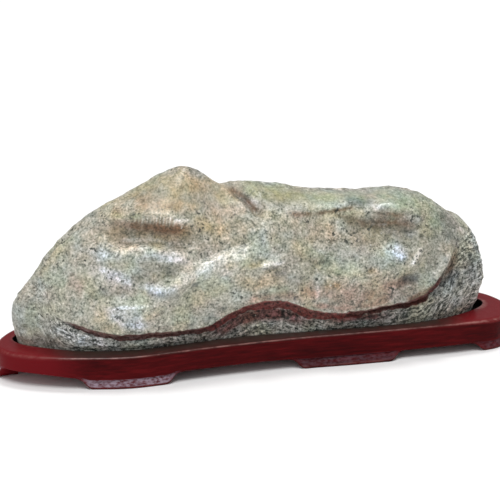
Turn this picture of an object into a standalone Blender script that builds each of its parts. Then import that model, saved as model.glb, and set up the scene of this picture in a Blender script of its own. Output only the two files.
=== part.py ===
"""A mountain-shaped viewing stone in the carved seat of a low lacquered hardwood stand.

The stone is one solid: a broad face that leans back, sculpted into hollows and crests, overhangs a rough skirt
along a winding seam, and meets a low top behind it. The stand is one plank with a rounded outline, a sunk seat
and six feet carved from its own edge.

+X runs along the stand, -Y is the side that faces the viewer, +Z is up. The origin is on the surface that the
stand rests on, under the middle of the stand. Every size below is in millimetres.
"""

import math

import bmesh
import bpy
import numpy as np
from mathutils import Vector, noise

MM = 0.001

# The stand: heights of its parts, and the shape of its edge.
STAND_TOP = 28.5
SEAT_FLOOR = 19.5
BOARD_BOTTOM = 9.3
APRON_BOTTOM = [(-200, 12.4), (-155, 9.3), (-20, 9.3), (60, 8.2), (200, 7.8)]
APRON_LEAN = 0.8
FOOT_BAND_TOP = 8.0
FOOT_EDGE_TOP = 2.2
FOOT_FLARE = [(-150, 0.4), (-80, 1.4), (30, 2.4), (80, 3.4), (150, 3.2), (200, 0.8)]
FOOT_DEPTH = 17.0
# How much of a foot is left at distances past its end: a rounded corner, a steep side, then a cove.
FOOT_END = [(-3, 1.0), (0, 0.93), (3, 0.65), (6, 0.28), (9, 0.08), (13, 0.0)]
# The least height of the rows between the apron's face and its underside, where there is no foot.
FACE_FOLD = 1.5
EDGE_FOLD = 0.7
# How far the sole and the foot's back lie in from the outline, and the board's underside behind them.
SOLE_INSET = 0.6
FOOT_BACK_SLOPE = 1.0
BOARD_INSET = 20.0
EDGE_RADIUS_MIDDLE = 1.8
EDGE_RADIUS_ENDS = 4.2
ENDS_START, ENDS_RUN = 150.0, 60.0
SEAT_RIM_RADIUS = 1.2
SEAT_CLEARANCE = 0.7
SEAT_SPARE_RIGHT = 8.5
SEAT_SPARE_RIGHT_REACH = 16.0
SEAT_SPARE_LEFT = 2.5
SEAT_SPARE_LEFT_REACH = 8.0
# Rows of points from the seat's floor up to the stand's top: distance out from the seat's wall, and height.
SEAT_ROWS = [
    (-3.0, SEAT_FLOOR),
    (-0.9, SEAT_FLOOR + 0.8),
    (0.0, SEAT_FLOOR + 3.0),
    (0.0, STAND_TOP - SEAT_RIM_RADIUS),
    (0.3 * SEAT_RIM_RADIUS, STAND_TOP - 0.3 * SEAT_RIM_RADIUS),
    (SEAT_RIM_RADIUS, STAND_TOP),
]
# The stand's outline, from the right tip round the back to the left tip and along the front.
STAND_OUTLINE = [
    (226.5, -9), (221, 17), (205, 34), (170, 44), (110, 50), (40, 52.2), (-40, 53.2), (-110, 52.8), (-165, 47),
    (-203, 33), (-220, 16), (-226.5, -3), (-221, -19), (-204, -32), (-178, -42.5), (-147, -49.8), (-118, -53.4),
    (-85, -50.5), (-40, -46), (20, -42.5), (80, -42), (140, -41.5), (180, -39.5), (210, -33.5),
]
STAND_POINTS = 104
OUTLINE_SPLITS = 24
SEAT_STEPS = 400
# Feet on the front and on the back, as the stretch of X that each takes, and where the end feet start.
SIDE_FEET = [(-153, -87.5), (30, 109)]
RIGHT_FOOT_FROM = 194
LEFT_FOOT_TIP = -200
LEFT_FOOT_MIDDLE_Y, LEFT_FOOT_HALF = 3.0, 10.0

# The stone: its base, its ridge, and the two ends that the plan is rounded off to.
UNDERSIDE = 19.9
BASE_LEFT, BASE_RIGHT, BASE_MIDDLE_Y = -208.0, 196.5, 6.0
BASE_ROUNDNESS = 2.6
BASE_HALF_DEPTH = 40.0
BASE_FRONT = [(-207, 36), (-156, 46.5), (-123, 47.5), (-54, 37.5), (-10, 33.8), (77, 36.7), (160, 42), (196, 41)]
BASE_BACK = [(-207, 28), (-150, 33), (-90, 34), (0, 28), (90, 29), (160, 32), (196, 32)]
RIDGE_LEFT, RIDGE_RIGHT = -170.0, 168.0
RIDGE_Y = [(-170, 6), (-110, 4), (-60, 2), (-28, 8), (20, 18), (90, 18), (168, 8)]
RIDGE_HEIGHT = [
    (-170, 99.5), (-161, 116), (-143, 130), (-120, 142), (-95, 155), (-72, 168.5), (-62, 172.5), (-52, 169),
    (-37, 157), (-26, 152), (-12, 152.5), (10, 149), (30, 143.5), (47, 139.5), (74, 138.5), (95, 137.5),
    (116, 138), (135, 135), (150, 128.5), (168, 117),
]
# How far the belly stands out past the base, how high it is, and how full the shape is above it.
BELLY_OUT_FRONT = [(-207, 3), (-160, 7), (-60, 9), (60, 8), (160, 7), (196, 7)]
BELLY_OUT_BACK = [(-207, 3), (-120, 9), (60, 10), (160, 8), (196, 7)]
BELLY_HEIGHT = [(-207, 56), (-120, 58), (0, 76), (60, 62), (120, 64), (196, 56)]
FULLNESS_FRONT = [(-207, 1.38), (-165, 1.55), (-60, 1.55), (30, 2.0), (130, 2.2), (196, 1.75)]
FULLNESS_BACK = [(-207, 1.38), (-150, 2.0), (0, 2.3), (140, 2.2), (196, 1.75)]

# The seam that parts the face from the rough skirt: where the face's lip is, how high and deep the gap under it
# is, and how far the lip stands out of the belly and the skirt stands back from it.
LIP_HEIGHT = [
    (-192, 92), (-186, 84), (-181, 68), (-176, 59), (-168, 55), (-156, 50.5), (-140, 46), (-122, 43.5),
    (-100, 43.5), (-70, 42.5), (-52, 42.5), (-40, 47), (-27, 54), (-12, 59), (5, 61), (16, 59.5), (30, 52.5),
    (44, 47), (62, 44.5), (82, 45), (100, 47.5), (124, 49.5), (140, 55), (151, 67), (163, 82), (173, 97),
    (184, 100),
]
PLAIN_LIP_HEIGHT = [(-207, 62), (-100, 54), (100, 54), (196, 74)]
SEAM_GAP = [
    (-186, 1), (-168, 1.4), (-150, 2), (-128, 3.4), (-100, 4.4), (-60, 4.5), (-40, 6.5), (8, 9), (32, 8.5),
    (60, 5.5), (104, 4.5), (122, 4.4), (136, 6), (148, 4), (160, 2.4), (178, 1),
]
SEAM_DEPTH = [(-184, 0), (-170, 2), (-150, 5), (-60, 8), (0, 10), (60, 8), (136, 8), (156, 4.5), (180, 0)]
LIP_STANDS_OUT = [(-185, 0), (-160, 1), (-100, 3), (-60, 3.5), (0, 1.5), (60, 2.5), (140, 1.5), (175, 0)]
SKIRT_SET_BACK = [
    (-185, 0), (-150, -1), (-100, -1), (-60, 0), (-20, 3), (8, 4), (40, 2), (100, 0), (140, 0.5), (160, 2), (182, 0),
]
SKIRT_TOP_SET_BACK = [
    (-185, 0), (-150, 1), (-60, 2), (-20, 6.5), (8, 9), (40, 6), (100, 2), (140, 2.5), (158, 4), (172, 2.5), (184, 0),
]
LIP_ROLL = 6.0
LIP_FADE = 16.0
# The stone is fully seamed between these ends, and its seam fades out past them over these stretches.
SEAMED_FROM, SEAMED_FROM_RUN = -208.0, 27.0
SEAMED_TO, SEAMED_TO_RUN = 197.0, 24.0
PLAIN_GAP = 2.0

# Rows of points on the stone's foot, as height and distance in from the base outline.
FOOT_ROWS = [(UNDERSIDE, 7.0), (UNDERSIDE + 1.5, 3.0), (STAND_TOP - 3.0, 0.8), (STAND_TOP + 0.4, 0.0)]
# Rows on the skirt: how far up each is from the foot to the seam, and its shares of the two set-backs.
SKIRT_ROWS = [(0.33, 0.8, 0.0), (0.70, 0.5, 0.4), (1.0, 0.0, 1.0)]
SKIRT_CREST_BELOW_GAP = 1.0
# Rows inside the seam: how far down the gap each is, and its share of the depth.
SEAM_ROWS = [(0.72, 1.0), (0.28, 0.75)]
# Rows on the lip: height above it, and how far each is inside the lip's full stand-out.
LIP_ROWS = [(0.2, 0.8), (2.2, 0.0), (LIP_ROLL, 0.0)]

# How finely the stone is shaped, and the share of its faces that is kept where it is plain.
STONE_STEPS_ALONG = 150
FACE_ROWS = 34
FACE_SAMPLES = 80
PLAN_SAMPLES = 4001
END_BLEND_FROM = 0.9
STONE_DETAIL_KEPT = 0.235

# Relief on the face. Each line runs through (X, Z) places and is as wide above it, and below it, as stated, and
# stands out of the face (or sinks into it, if negative) by its height.
RELIEF = [
    # name, line, width above, width below, height
    ("brow", [(-142, 130), (-122, 134.5), (-100, 135.5), (-84, 134), (-58, 129.5)], 20, 5.5, 5.5),
    ("hollow under the brow", [(-134, 126), (-116, 129), (-98, 129), (-80, 127), (-52, 122)], 6, 20, -9.5),
    ("shelf under the hollow", [(-144, 107), (-112, 111), (-84, 108), (-64, 102), (-50, 96)], 14, 13, 3.5),
    ("bowl above the slanting ridge", [(-118, 92), (-96, 95), (-72, 95)], 13, 12, -3.2),
    ("slanting ridge",
     [(-112, 77), (-88, 79), (-72, 86), (-56, 93), (-42, 97), (-28, 100), (-13, 103), (0, 112)], 10, 18, 6.5),
    ("neck", [(-8, 108), (4, 120), (6, 136)], 11, 10, 3.5),
    ("groove beside the peak", [(-34, 161), (-22, 154), (-12, 146), (-5, 139), (6, 131)], 8, 8, -6.5),
    ("rim of the plateau", [(20, 127), (44, 129.5), (61, 130.5), (80, 132), (104, 135)], 13, 5, 3.5),
    ("right brow", [(90, 126.5), (106, 127), (120, 124), (142, 117)], 12, 5, 3.5),
    ("crease under the right brow", [(70, 125), (88, 122), (104, 121), (122, 120), (146, 114)], 5, 13, -5.5),
    ("right hollow", [(14, 120), (56, 113), (100, 111), (144, 102)], 14, 18, -3.5),
    ("right swell", [(52, 84), (112, 90), (132, 88)], 18, 30, 5.0),
    ("edge of the right swell", [(122, 78), (139, 104)], 10, 8, 2.0),
    ("right lip", [(138, 62), (149, 72), (157, 84), (163, 96)], 11, 9, 3.2),
    ("small ridge", [(-12, 87), (3, 91), (20, 96)], 7, 10, 2.5),
    ("left lobe", [(-152, 66), (-121, 70), (-90, 70)], 9, 18, 2.5),
    ("dent above the left lobe", [(-146, 82), (-112, 80)], 10, 9, -1.5),
    ("pit in the right face", [(114, 68), (132, 72)], 9, 9, -3.5),
]
# The lines wander by this much, over stretches of about this length, and fade over this share of their ends.
WANDER = 4.0
WANDER_LENGTH = 34.0
FADED_END = 0.3
END_LEFT = 0.15

# Lumps: their size, their height and a seed. Some are all over the stone, others only behind or on the skirt.
ALL_LUMPS = [(46, 1.6, 1), (19, 0.5, 2)]
BACK_LUMPS = [(60, 3.0, 3), (24, 1.2, 4)]
SKIRT_LUMPS = [(9, 1.6, 5)]
# How far the noise is shifted for each seed.
LUMP_SHIFT = (7.3, 3.1, 5.7)
# The relief and the lumps push points away from the stone's inside: X shrunk by this share, and this height.
INSIDE_SHARE, INSIDE_HEIGHT = 0.86, 66.0
# Where they set in, as a start and a run: above the stand's top, above the lip, below the lip and towards the front.
RAISED_START, RAISED_RUN = 2.0, 6.0
FACE_START, FACE_RUN = 1.0, 5.0
SKIRT_START, SKIRT_RUN = -2.0, 3.0
FRONT_START, FRONT_RUN = 14.0, 22.0


def curve_through(knots):
    """A smooth function through (place, value) knots that never overshoots them and is level past the ends."""
    places, values = np.array(knots, float).T
    step = np.diff(places)
    slope = np.diff(values) / step
    tangent = np.zeros(len(places))
    both = slope[:-1] * slope[1:]
    weighted = slope[:-1] * (step[:-1] + 2 * step[1:]) + slope[1:] * (2 * step[:-1] + step[1:])
    rising = both > 0
    tangent[1:-1][rising] = 3 * both[rising] * (step[:-1] + step[1:])[rising] / weighted[rising]

    def value(place):
        place = np.clip(np.asarray(place, float), places[0], places[-1])
        i = np.clip(np.searchsorted(places, place, side="right") - 1, 0, len(step) - 1)
        t = (place - places[i]) / step[i]
        rise = values[i + 1] - values[i]
        curl = step[i] * (tangent[i] * (1 - t) - tangent[i + 1] * t)
        return values[i] + rise * t * t * (3 - 2 * t) + curl * t * (1 - t)

    return value


def smooth_step(t):
    t = np.clip(t, 0, 1)
    return t * t * (3 - 2 * t)


# ---------------------------------------------------------------- stone


def end_rounding(along):
    """How much of its full depth the plan has at a place along it, from -1 at one end to 1 at the other."""
    return (1 - np.clip(np.abs(along), 0, 1) ** BASE_ROUNDNESS) ** (1 / BASE_ROUNDNESS)


def places_along(steps):
    """Places from -1 to 1 that are evenly spaced round the stone's plan, so they crowd at its round ends."""
    angle = np.linspace(0, math.pi, PLAN_SAMPLES)
    along = -np.sign(np.cos(angle)) * np.abs(np.cos(angle)) ** (2 / BASE_ROUNDNESS)
    aside = np.sin(angle) ** (2 / BASE_ROUNDNESS) * BASE_HALF_DEPTH / ((BASE_RIGHT - BASE_LEFT) / 2)
    run = np.concatenate([[0], np.cumsum(np.hypot(np.diff(along), np.diff(aside)))])
    found = np.interp(np.linspace(0, run[-1], steps + 1), run, along)
    found[0], found[-1] = -1, 1
    return found


def base_line(along, side):
    """X and Y of the stone's base outline. side is -1 for the front and 1 for the back."""
    x = BASE_LEFT + (BASE_RIGHT - BASE_LEFT) * (along + 1) / 2
    depth = curve_through(BASE_FRONT if side < 0 else BASE_BACK)(x)
    return x, BASE_MIDDLE_Y + side * depth * end_rounding(along)


def stone_columns(along, side):
    """What shapes each column of the stone's front or back: its base, its spine point, its belly and its top."""
    x, y = base_line(along, side)
    spine_x = RIDGE_LEFT + (RIDGE_RIGHT - RIDGE_LEFT) * (along + 1) / 2
    spine = np.stack([spine_x, curve_through(RIDGE_Y)(spine_x)], 1)
    arm = np.stack([x, y], 1) - spine
    reach = np.linalg.norm(arm, axis=1)
    # Both sides use the back's belly at the very ends, where their columns meet.
    end = smooth_step((np.abs(along) - END_BLEND_FROM) / (1 - END_BLEND_FROM))
    back_out, back_fullness = curve_through(BELLY_OUT_BACK)(x), curve_through(FULLNESS_BACK)(x)
    front_out, front_fullness = curve_through(BELLY_OUT_FRONT)(x), curve_through(FULLNESS_FRONT)(x)
    own = 1 - end if side < 0 else np.zeros_like(x)
    seamed = smooth_step((x - SEAMED_FROM) / SEAMED_FROM_RUN) * smooth_step((SEAMED_TO - x) / SEAMED_TO_RUN)
    return {
        "x": x,
        "spine": spine,
        "away": arm / reach[:, None],
        "reach": reach,
        "top": curve_through(RIDGE_HEIGHT)(spine_x),
        "belly": curve_through(BELLY_HEIGHT)(x),
        "belly_out": back_out + own * (front_out - back_out),
        "fullness": back_fullness + own * (front_fullness - back_fullness),
        "seamed": seamed if side < 0 else np.zeros_like(x),
    }


def plain_radius(columns, height):
    """Distance from the spine to the plain surface at one height for each column."""
    rise = np.clip((height - STAND_TOP) / (columns["belly"] - STAND_TOP), 0, 1)
    below = columns["reach"] + columns["belly_out"] * np.sin(0.5 * math.pi * rise)
    climb = np.clip((height - columns["belly"]) / (columns["top"] - columns["belly"]), 0, 1)
    return below * (1 - climb ** columns["fullness"]) ** (1 / columns["fullness"])


def lower_rows(columns):
    """Rows from the underside up to just above the lip, as (height, radius) for each column.

    Where the stone is seamed they follow the skirt, the seam and the lip, and elsewhere they rise evenly."""
    x, reach, seamed = columns["x"], columns["reach"], columns["seamed"]
    plain_lip = curve_through(PLAIN_LIP_HEIGHT)(x)
    lip = plain_lip + seamed * (curve_through(LIP_HEIGHT)(x) - plain_lip)
    gap = PLAIN_GAP + seamed * (curve_through(SEAM_GAP)(x) - PLAIN_GAP)
    deep = curve_through(SEAM_DEPTH)(x)
    stands_out = curve_through(LIP_STANDS_OUT)(x)
    set_back = curve_through(SKIRT_SET_BACK)(x)
    top_set_back = curve_through(SKIRT_TOP_SET_BACK)(x)

    rows = [(np.full_like(x, height), reach - inset) for height, inset in FOOT_ROWS]
    foot = FOOT_ROWS[-1][0]
    crest = lip - gap - SKIRT_CREST_BELOW_GAP
    offsets = [(foot + up * (crest - foot), -low * set_back - high * top_set_back) for up, low, high in SKIRT_ROWS]
    offsets += [(lip - down * gap, stands_out - share * deep) for down, share in SEAM_ROWS]
    offsets += [(lip + above, stands_out - inset) for above, inset in LIP_ROWS]
    for height, offset in offsets:
        rows.append((height, plain_radius(columns, height) + seamed * offset))
    return rows, lip, seamed * stands_out


def stone_sheet(along, side, face_rows):
    """The front or the back of the stone before its relief, as points [step along][row up] in millimetres."""
    columns = stone_columns(along, side)
    rows, lip, stands_out = lower_rows(columns)
    # The face is measured finely from above the lip to the ridge, and its rows lie evenly along that line.
    start = lip + LIP_ROLL
    heights = start + (columns["top"] - start) * np.sin(np.linspace(0, 0.5 * math.pi, FACE_SAMPLES))[:, None]
    fade = 1 - smooth_step((heights - start) / LIP_FADE)
    radii = np.array([plain_radius(columns, height) for height in heights]) + fade * stands_out
    run = np.cumsum(np.hypot(np.diff(heights, axis=0), np.diff(radii, axis=0)), axis=0)
    run = np.concatenate([np.zeros((1, len(along))), run])
    shares = np.arange(1, face_rows + 1) / face_rows
    face = np.empty((len(along), face_rows, 2))
    for i in range(len(along)):
        face[i, :, 0] = np.interp(shares * run[-1, i], run[:, i], heights[:, i])
        face[i, :, 1] = np.interp(shares * run[-1, i], run[:, i], radii[:, i])
    lower = np.array(rows).transpose(2, 0, 1)
    profile = np.concatenate([lower, face], axis=1)

    sheet = np.empty((*profile.shape[:2], 3))
    sheet[:, :, :2] = columns["spine"][:, None] + columns["away"][:, None] * profile[:, :, 1:]
    sheet[:, :, 2] = profile[:, :, 0]
    return sheet


def line_relief(points, line, width_above, width_below):
    """A smooth bank along a line of places, 1 on the line, 0 past its width and fading to its ends, at each point."""
    line = np.array(line, float)
    starts = np.concatenate([[0], np.cumsum(np.linalg.norm(np.diff(line, axis=0), axis=1))])
    height = np.zeros(len(points))
    for a, b, start in zip(line[:-1], line[1:], starts):
        span = b - a
        length = np.hypot(*span)
        t = np.clip((points - a) @ span / length**2, 0, 1)
        gap = points - (a + t[:, None] * span)
        distance = np.maximum(np.hypot(gap[:, 0], gap[:, 1]), 1e-9)
        upness = (span[0] * gap[:, 1] - span[1] * gap[:, 0]) / (distance * length)
        width = width_below + (width_above - width_below) * (1 + upness) / 2
        near = np.clip(1 - (distance / width) ** 2, 0, 1) ** 2
        share = (start + t * length) / starts[-1]
        ends = smooth_step(share / FADED_END + END_LEFT) * smooth_step((1 - share) / FADED_END + END_LEFT)
        height = np.maximum(height, near * ends)
    return height


def relief_height(x, z):
    """How far the face stands out at each (x, z) place, from all the lines of RELIEF."""
    places = np.stack([x, np.zeros_like(x), z], 1)
    wander_x = WANDER * lumps(places, WANDER_LENGTH, 6)
    wander_z = WANDER * lumps(places, WANDER_LENGTH, 7)
    points = np.stack([x + wander_x, z + wander_z], 1)
    height = np.zeros(len(points))
    for _, line, width_above, width_below, amount in RELIEF:
        height += amount * line_relief(points, line, width_above, width_below)
    return height


def lumps(points, size, seed):
    """Smooth lumps of about that size in millimetres, from -1 to 1, at each point."""
    shift = Vector(LUMP_SHIFT) * seed
    return np.array([noise.noise(Vector(p) / size + shift) for p in points])


def weather(points, front):
    """Moves the stone's points outwards and inwards: the relief on its face, and the lumps all over it."""
    inside = points * (INSIDE_SHARE, 0, 0) + (0, BASE_MIDDLE_Y, INSIDE_HEIGHT)
    outward = points - inside
    outward /= np.linalg.norm(outward, axis=1)[:, None]
    above_lip = points[:, 2] - curve_through(LIP_HEIGHT)(points[:, 0])
    raised = smooth_step((points[:, 2] - STAND_TOP - RAISED_START) / RAISED_RUN)
    on_face = front * smooth_step((above_lip - FACE_START) / FACE_RUN)
    on_skirt = front * raised * (1 - smooth_step((above_lip - SKIRT_START) / SKIRT_RUN))
    move = relief_height(points[:, 0], points[:, 2]) * on_face
    for where, banks in ((raised, ALL_LUMPS), (raised * (1 - front), BACK_LUMPS), (on_skirt, SKIRT_LUMPS)):
        for size, height, seed in banks:
            move += where * height * lumps(points, size, seed)
    return points + outward * move[:, None]


def stone_shape(steps, face_rows):
    """Vertices and quads of the whole stone. The two sheets share the ridge and the two end columns."""
    along = places_along(steps)
    sheets = [stone_sheet(along, side, face_rows) for side in (-1, 1)]
    rows = sheets[0].shape[1]
    ridge = rows - 1
    # Where the sheets meet they take the mean, and both keep their own points elsewhere.
    for column in (0, -1):
        shared = (sheets[0][column] + sheets[1][column]) / 2
        sheets[0][column] = shared
        sheets[1][column] = shared
    points, index = [], {}
    for side in (0, 1):
        for k in range(steps + 1):
            for row in range(rows):
                if side == 1 and (k in (0, steps) or row == ridge):
                    index[side, k, row] = index[0, k, row]
                    continue
                index[side, k, row] = len(points)
                points.append(sheets[side][k, row])
    points = np.array(points)

    front = smooth_step((BASE_MIDDLE_Y + FRONT_START - points[:, 1]) / FRONT_RUN)
    points = weather(points, front)

    quads = []
    for k in range(steps):
        for row in range(rows - 1):
            quads.append([index[0, k, row], index[0, k + 1, row], index[0, k + 1, row + 1], index[0, k, row + 1]])
            quads.append([index[1, k, row], index[1, k, row + 1], index[1, k + 1, row + 1], index[1, k + 1, row]])
        quads.append([index[0, k, 0], index[1, k, 0], index[1, k + 1, 0], index[0, k + 1, 0]])
    return points, quads


# ---------------------------------------------------------------- stand


def closed_outline(corners, count):
    """A smooth closed line through the corners, as points evenly spaced along it. It starts at the first."""
    corners = np.array(corners, float)
    dense = []
    for i in range(len(corners)):
        p0, p1, p2, p3 = (corners[(i + j) % len(corners)] for j in (-1, 0, 1, 2))
        for t in np.linspace(0, 1, OUTLINE_SPLITS, endpoint=False):
            bend = (2 * p0 - 5 * p1 + 4 * p2 - p3) * t**2 + (3 * p1 - p0 - 3 * p2 + p3) * t**3
            dense.append(0.5 * (2 * p1 + (p2 - p0) * t + bend))
    dense = np.array(dense + [dense[0]])
    run = np.concatenate([[0], np.cumsum(np.linalg.norm(np.diff(dense, axis=0), axis=1))])
    at = np.linspace(0, run[-1], count, endpoint=False)
    return np.stack([np.interp(at, run, dense[:, 0]), np.interp(at, run, dense[:, 1])], 1)


def outward_of(outline):
    """The unit direction in plan that points away from a closed, counter-clockwise outline, at each of its points."""
    along = np.roll(outline, -1, 0) - np.roll(outline, 1, 0)
    out = np.stack([along[:, 1], -along[:, 0]], 1)
    return out / np.linalg.norm(out, axis=1)[:, None]


def foot_share(outline):
    """How much of a foot there is at each point of the stand's outline, from 0 under the apron to 1 at a foot."""
    x = outline[:, 0]
    past = RIGHT_FOOT_FROM - x
    for start, stop in SIDE_FEET:
        past = np.minimum(past, np.maximum(start - x, x - stop))
    beside = np.abs(outline[:, 1] - LEFT_FOOT_MIDDLE_Y) - LEFT_FOOT_HALF
    past = np.where(x < LEFT_FOOT_TIP, np.minimum(past, beside), past)
    return curve_through(FOOT_END)(past)


def seat_outline(outline):
    """The outline of the seat, one point for each point of the stand's outline, so that the top is one band."""
    along = places_along(SEAT_STEPS)
    front_x, front_y = base_line(along, -1)
    back_x, back_y = base_line(along[::-1], 1)
    ring = np.concatenate([np.stack([back_x, back_y], 1), np.stack([front_x, front_y], 1)[1:-1]])
    ring = ring + outward_of(ring) * SEAT_CLEARANCE
    aside = ring[:, 1] - BASE_MIDDLE_Y
    spare_right = SEAT_SPARE_RIGHT * np.exp(-((aside / SEAT_SPARE_RIGHT_REACH) ** 2))
    spare_left = SEAT_SPARE_LEFT * np.exp(-((aside / SEAT_SPARE_LEFT_REACH) ** 2))
    ring[:, 0] += np.where(ring[:, 0] > 0, spare_right, -spare_left)
    run = np.concatenate([[0], np.cumsum(np.linalg.norm(np.diff(ring, axis=0, append=ring[:1]), axis=1))])
    ring = np.concatenate([ring, ring[:1]])
    share = np.linspace(0, run[-1], len(outline), endpoint=False)
    return np.stack([np.interp(share, run, ring[:, 0]), np.interp(share, run, ring[:, 1])], 1)


def stand_rings(points):
    """The closed rings of the stand, from the middle of the seat's floor out, down and in under the board."""
    outline = closed_outline(STAND_OUTLINE, points)
    out = outward_of(outline)
    seat = seat_outline(outline)
    seat_out = outward_of(seat)
    foot = foot_share(outline)
    ends = smooth_step((np.abs(outline[:, 0]) - ENDS_START) / ENDS_RUN)
    radius = EDGE_RADIUS_MIDDLE + (EDGE_RADIUS_ENDS - EDGE_RADIUS_MIDDLE) * ends

    def ring(plan, away, offset, height):
        offset = np.broadcast_to(offset, len(plan))
        height = np.broadcast_to(height, len(plan))
        return np.column_stack([plan + away * offset[:, None], height])

    rings = [ring(seat, seat_out, offset, height) for offset, height in SEAT_ROWS]
    for turn in (0, 30, 60, 90):
        angle = math.radians(turn)
        rings.append(ring(outline, out, radius * (math.sin(angle) - 1), STAND_TOP - radius * (1 - math.cos(angle))))
    # Below the apron's face the rows run down each foot, and lie close together where there is none.
    apron = curve_through(APRON_BOTTOM)(outline[:, 0])
    flare = curve_through(FOOT_FLARE)(outline[:, 0])
    bottom = apron * (1 - foot)
    folded = apron + FACE_FOLD
    rings += [
        ring(outline, out, -APRON_LEAN, folded + (FOOT_BAND_TOP - folded) * foot),
        ring(outline, out, flare * foot - APRON_LEAN, bottom + EDGE_FOLD + (FOOT_EDGE_TOP - EDGE_FOLD) * foot),
        ring(outline, out, flare * foot - APRON_LEAN - SOLE_INSET, bottom),
        ring(outline, out, -FOOT_DEPTH + FOOT_BACK_SLOPE * (1 - foot), bottom),
        ring(outline, out, -BOARD_INSET, BOARD_BOTTOM),
    ]
    return rings


# ---------------------------------------------------------------- objects


# Colours are linear red, green and blue.
STONE_COLOUR, STONE_ROUGHNESS = (0.42, 0.41, 0.33), 0.35
LACQUER_COLOUR, LACQUER_ROUGHNESS = (0.10, 0.008, 0.010), 0.25
SHARP_FROM_DEGREES = 40


def material(name, colour, roughness):
    made = bpy.data.materials.new(name)
    made.use_nodes = True
    shader = made.node_tree.nodes["Principled BSDF"]
    shader.inputs["Base Color"].default_value = (*colour, 1)
    shader.inputs["Roughness"].default_value = roughness
    return made


def add_object(name, points, faces, finish):
    mesh = bpy.data.meshes.new(name)
    mesh.from_pydata([tuple(p * MM) for p in points], [], faces)
    shape = bmesh.new()
    shape.from_mesh(mesh)
    bmesh.ops.recalc_face_normals(shape, faces=shape.faces)
    shape.to_mesh(mesh)
    shape.free()
    mesh.materials.append(finish)
    mesh.shade_smooth()
    mesh.set_sharp_from_angle(angle=math.radians(SHARP_FROM_DEGREES))
    made = bpy.data.objects.new(name, mesh)
    bpy.context.scene.collection.objects.link(made)
    return made


def build_stone():
    points, quads = stone_shape(STONE_STEPS_ALONG, FACE_ROWS)
    stone = add_object("stone", points, quads, material("speckled stone", STONE_COLOUR, STONE_ROUGHNESS))
    thinned = stone.modifiers.new("fewer faces where it is plain", "DECIMATE")
    thinned.decimate_type = "COLLAPSE"
    thinned.ratio = STONE_DETAIL_KEPT
    return stone


def build_stand():
    rings = stand_rings(STAND_POINTS)
    count = STAND_POINTS
    points = np.concatenate(rings)
    faces = []
    for ring in range(len(rings) - 1):
        for i in range(count):
            j = (i + 1) % count
            a, b = ring * count, (ring + 1) * count
            faces.append([a + i, b + i, b + j, a + j])
    faces.append(list(range(count)))
    faces.append(list(range((len(rings) - 1) * count, len(rings) * count)))
    return add_object("stand", points, faces, material("dark red lacquer", LACQUER_COLOUR, LACQUER_ROUGHNESS))


def main():
    for old in list(bpy.data.objects):
        bpy.data.objects.remove(old)
    build_stone()
    build_stand()


main()
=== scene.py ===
"""Looks for a scholar's rock on its low lacquered stand.

The stone is rebuilt from the same named curves as its solid, many times finer, with sharper crests, pits,
streaks on its skirt and a speckled mineral finish, with painted shade in its hollows and creases and painted
highlights and sheen on its crests. The stand is rebuilt in the same way, with crisp feet and worn lacquer,
with painted light at its left end, painted highlights on its edges, a painted reflection on its feet's
bands, painted shade in its seat, and painted shade and reflection on its top beside the stone.

Sizes are in millimetres unless a name says otherwise, in the frame of the solids: +X along the stand, -Y to
the viewer, +Z up, the origin under the middle of the stand.
"""

import math

import bmesh
import bpy
import numpy as np
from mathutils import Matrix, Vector, noise


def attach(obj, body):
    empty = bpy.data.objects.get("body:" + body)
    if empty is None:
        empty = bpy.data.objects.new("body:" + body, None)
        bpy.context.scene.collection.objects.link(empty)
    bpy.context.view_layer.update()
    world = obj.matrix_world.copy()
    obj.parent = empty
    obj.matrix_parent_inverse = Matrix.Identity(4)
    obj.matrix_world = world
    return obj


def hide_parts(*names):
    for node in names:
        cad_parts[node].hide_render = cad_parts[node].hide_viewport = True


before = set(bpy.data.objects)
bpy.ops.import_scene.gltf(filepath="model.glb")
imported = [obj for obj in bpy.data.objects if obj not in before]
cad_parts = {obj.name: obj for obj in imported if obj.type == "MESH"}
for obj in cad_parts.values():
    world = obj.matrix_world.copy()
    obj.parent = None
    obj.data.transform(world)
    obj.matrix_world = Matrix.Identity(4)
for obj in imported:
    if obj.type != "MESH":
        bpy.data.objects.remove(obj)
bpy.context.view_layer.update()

MM = 0.001

# ---------------------------------------------------------------- the stone's curves, as in its solid

STAND_TOP = 28.5
UNDERSIDE = 19.9
BASE_LEFT, BASE_RIGHT, BASE_MIDDLE_Y = -208.0, 196.5, 6.0
BASE_ROUNDNESS = 2.6
BASE_HALF_DEPTH = 40.0
BASE_FRONT = [
    (-207, 36), (-156, 46.5), (-123, 47.5), (-54, 37.5), (-10, 33.8), (77, 36.7), (160, 42), (196, 41),
]
BASE_BACK = [(-207, 28), (-150, 33), (-90, 34), (0, 28), (90, 29), (160, 32), (196, 32)]
RIDGE_LEFT, RIDGE_RIGHT = -170.0, 168.0
RIDGE_Y = [(-170, 6), (-110, 4), (-60, 2), (-28, 8), (20, 18), (90, 18), (168, 8)]
RIDGE_HEIGHT = [
    (-170, 99.5), (-161, 116), (-143, 130), (-120, 142), (-95, 155), (-72, 168.5), (-62, 172.5), (-52, 169),
    (-37, 157), (-26, 152), (-12, 152.5), (10, 149), (30, 143.5), (47, 139.5), (74, 138.5), (95, 137.5),
    (116, 138), (135, 135), (150, 128.5), (168, 117),
]
BELLY_OUT_FRONT = [(-207, 3), (-160, 7), (-60, 9), (60, 8), (160, 7), (196, 7)]
BELLY_OUT_BACK = [(-207, 3), (-120, 9), (60, 10), (160, 8), (196, 7)]
BELLY_HEIGHT = [(-207, 56), (-120, 58), (0, 76), (60, 62), (120, 64), (196, 56)]
FULLNESS_FRONT = [(-207, 1.38), (-165, 1.55), (-60, 1.55), (30, 2.0), (130, 2.2), (196, 1.75)]
FULLNESS_BACK = [(-207, 1.38), (-150, 2.0), (0, 2.3), (140, 2.2), (196, 1.75)]
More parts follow.
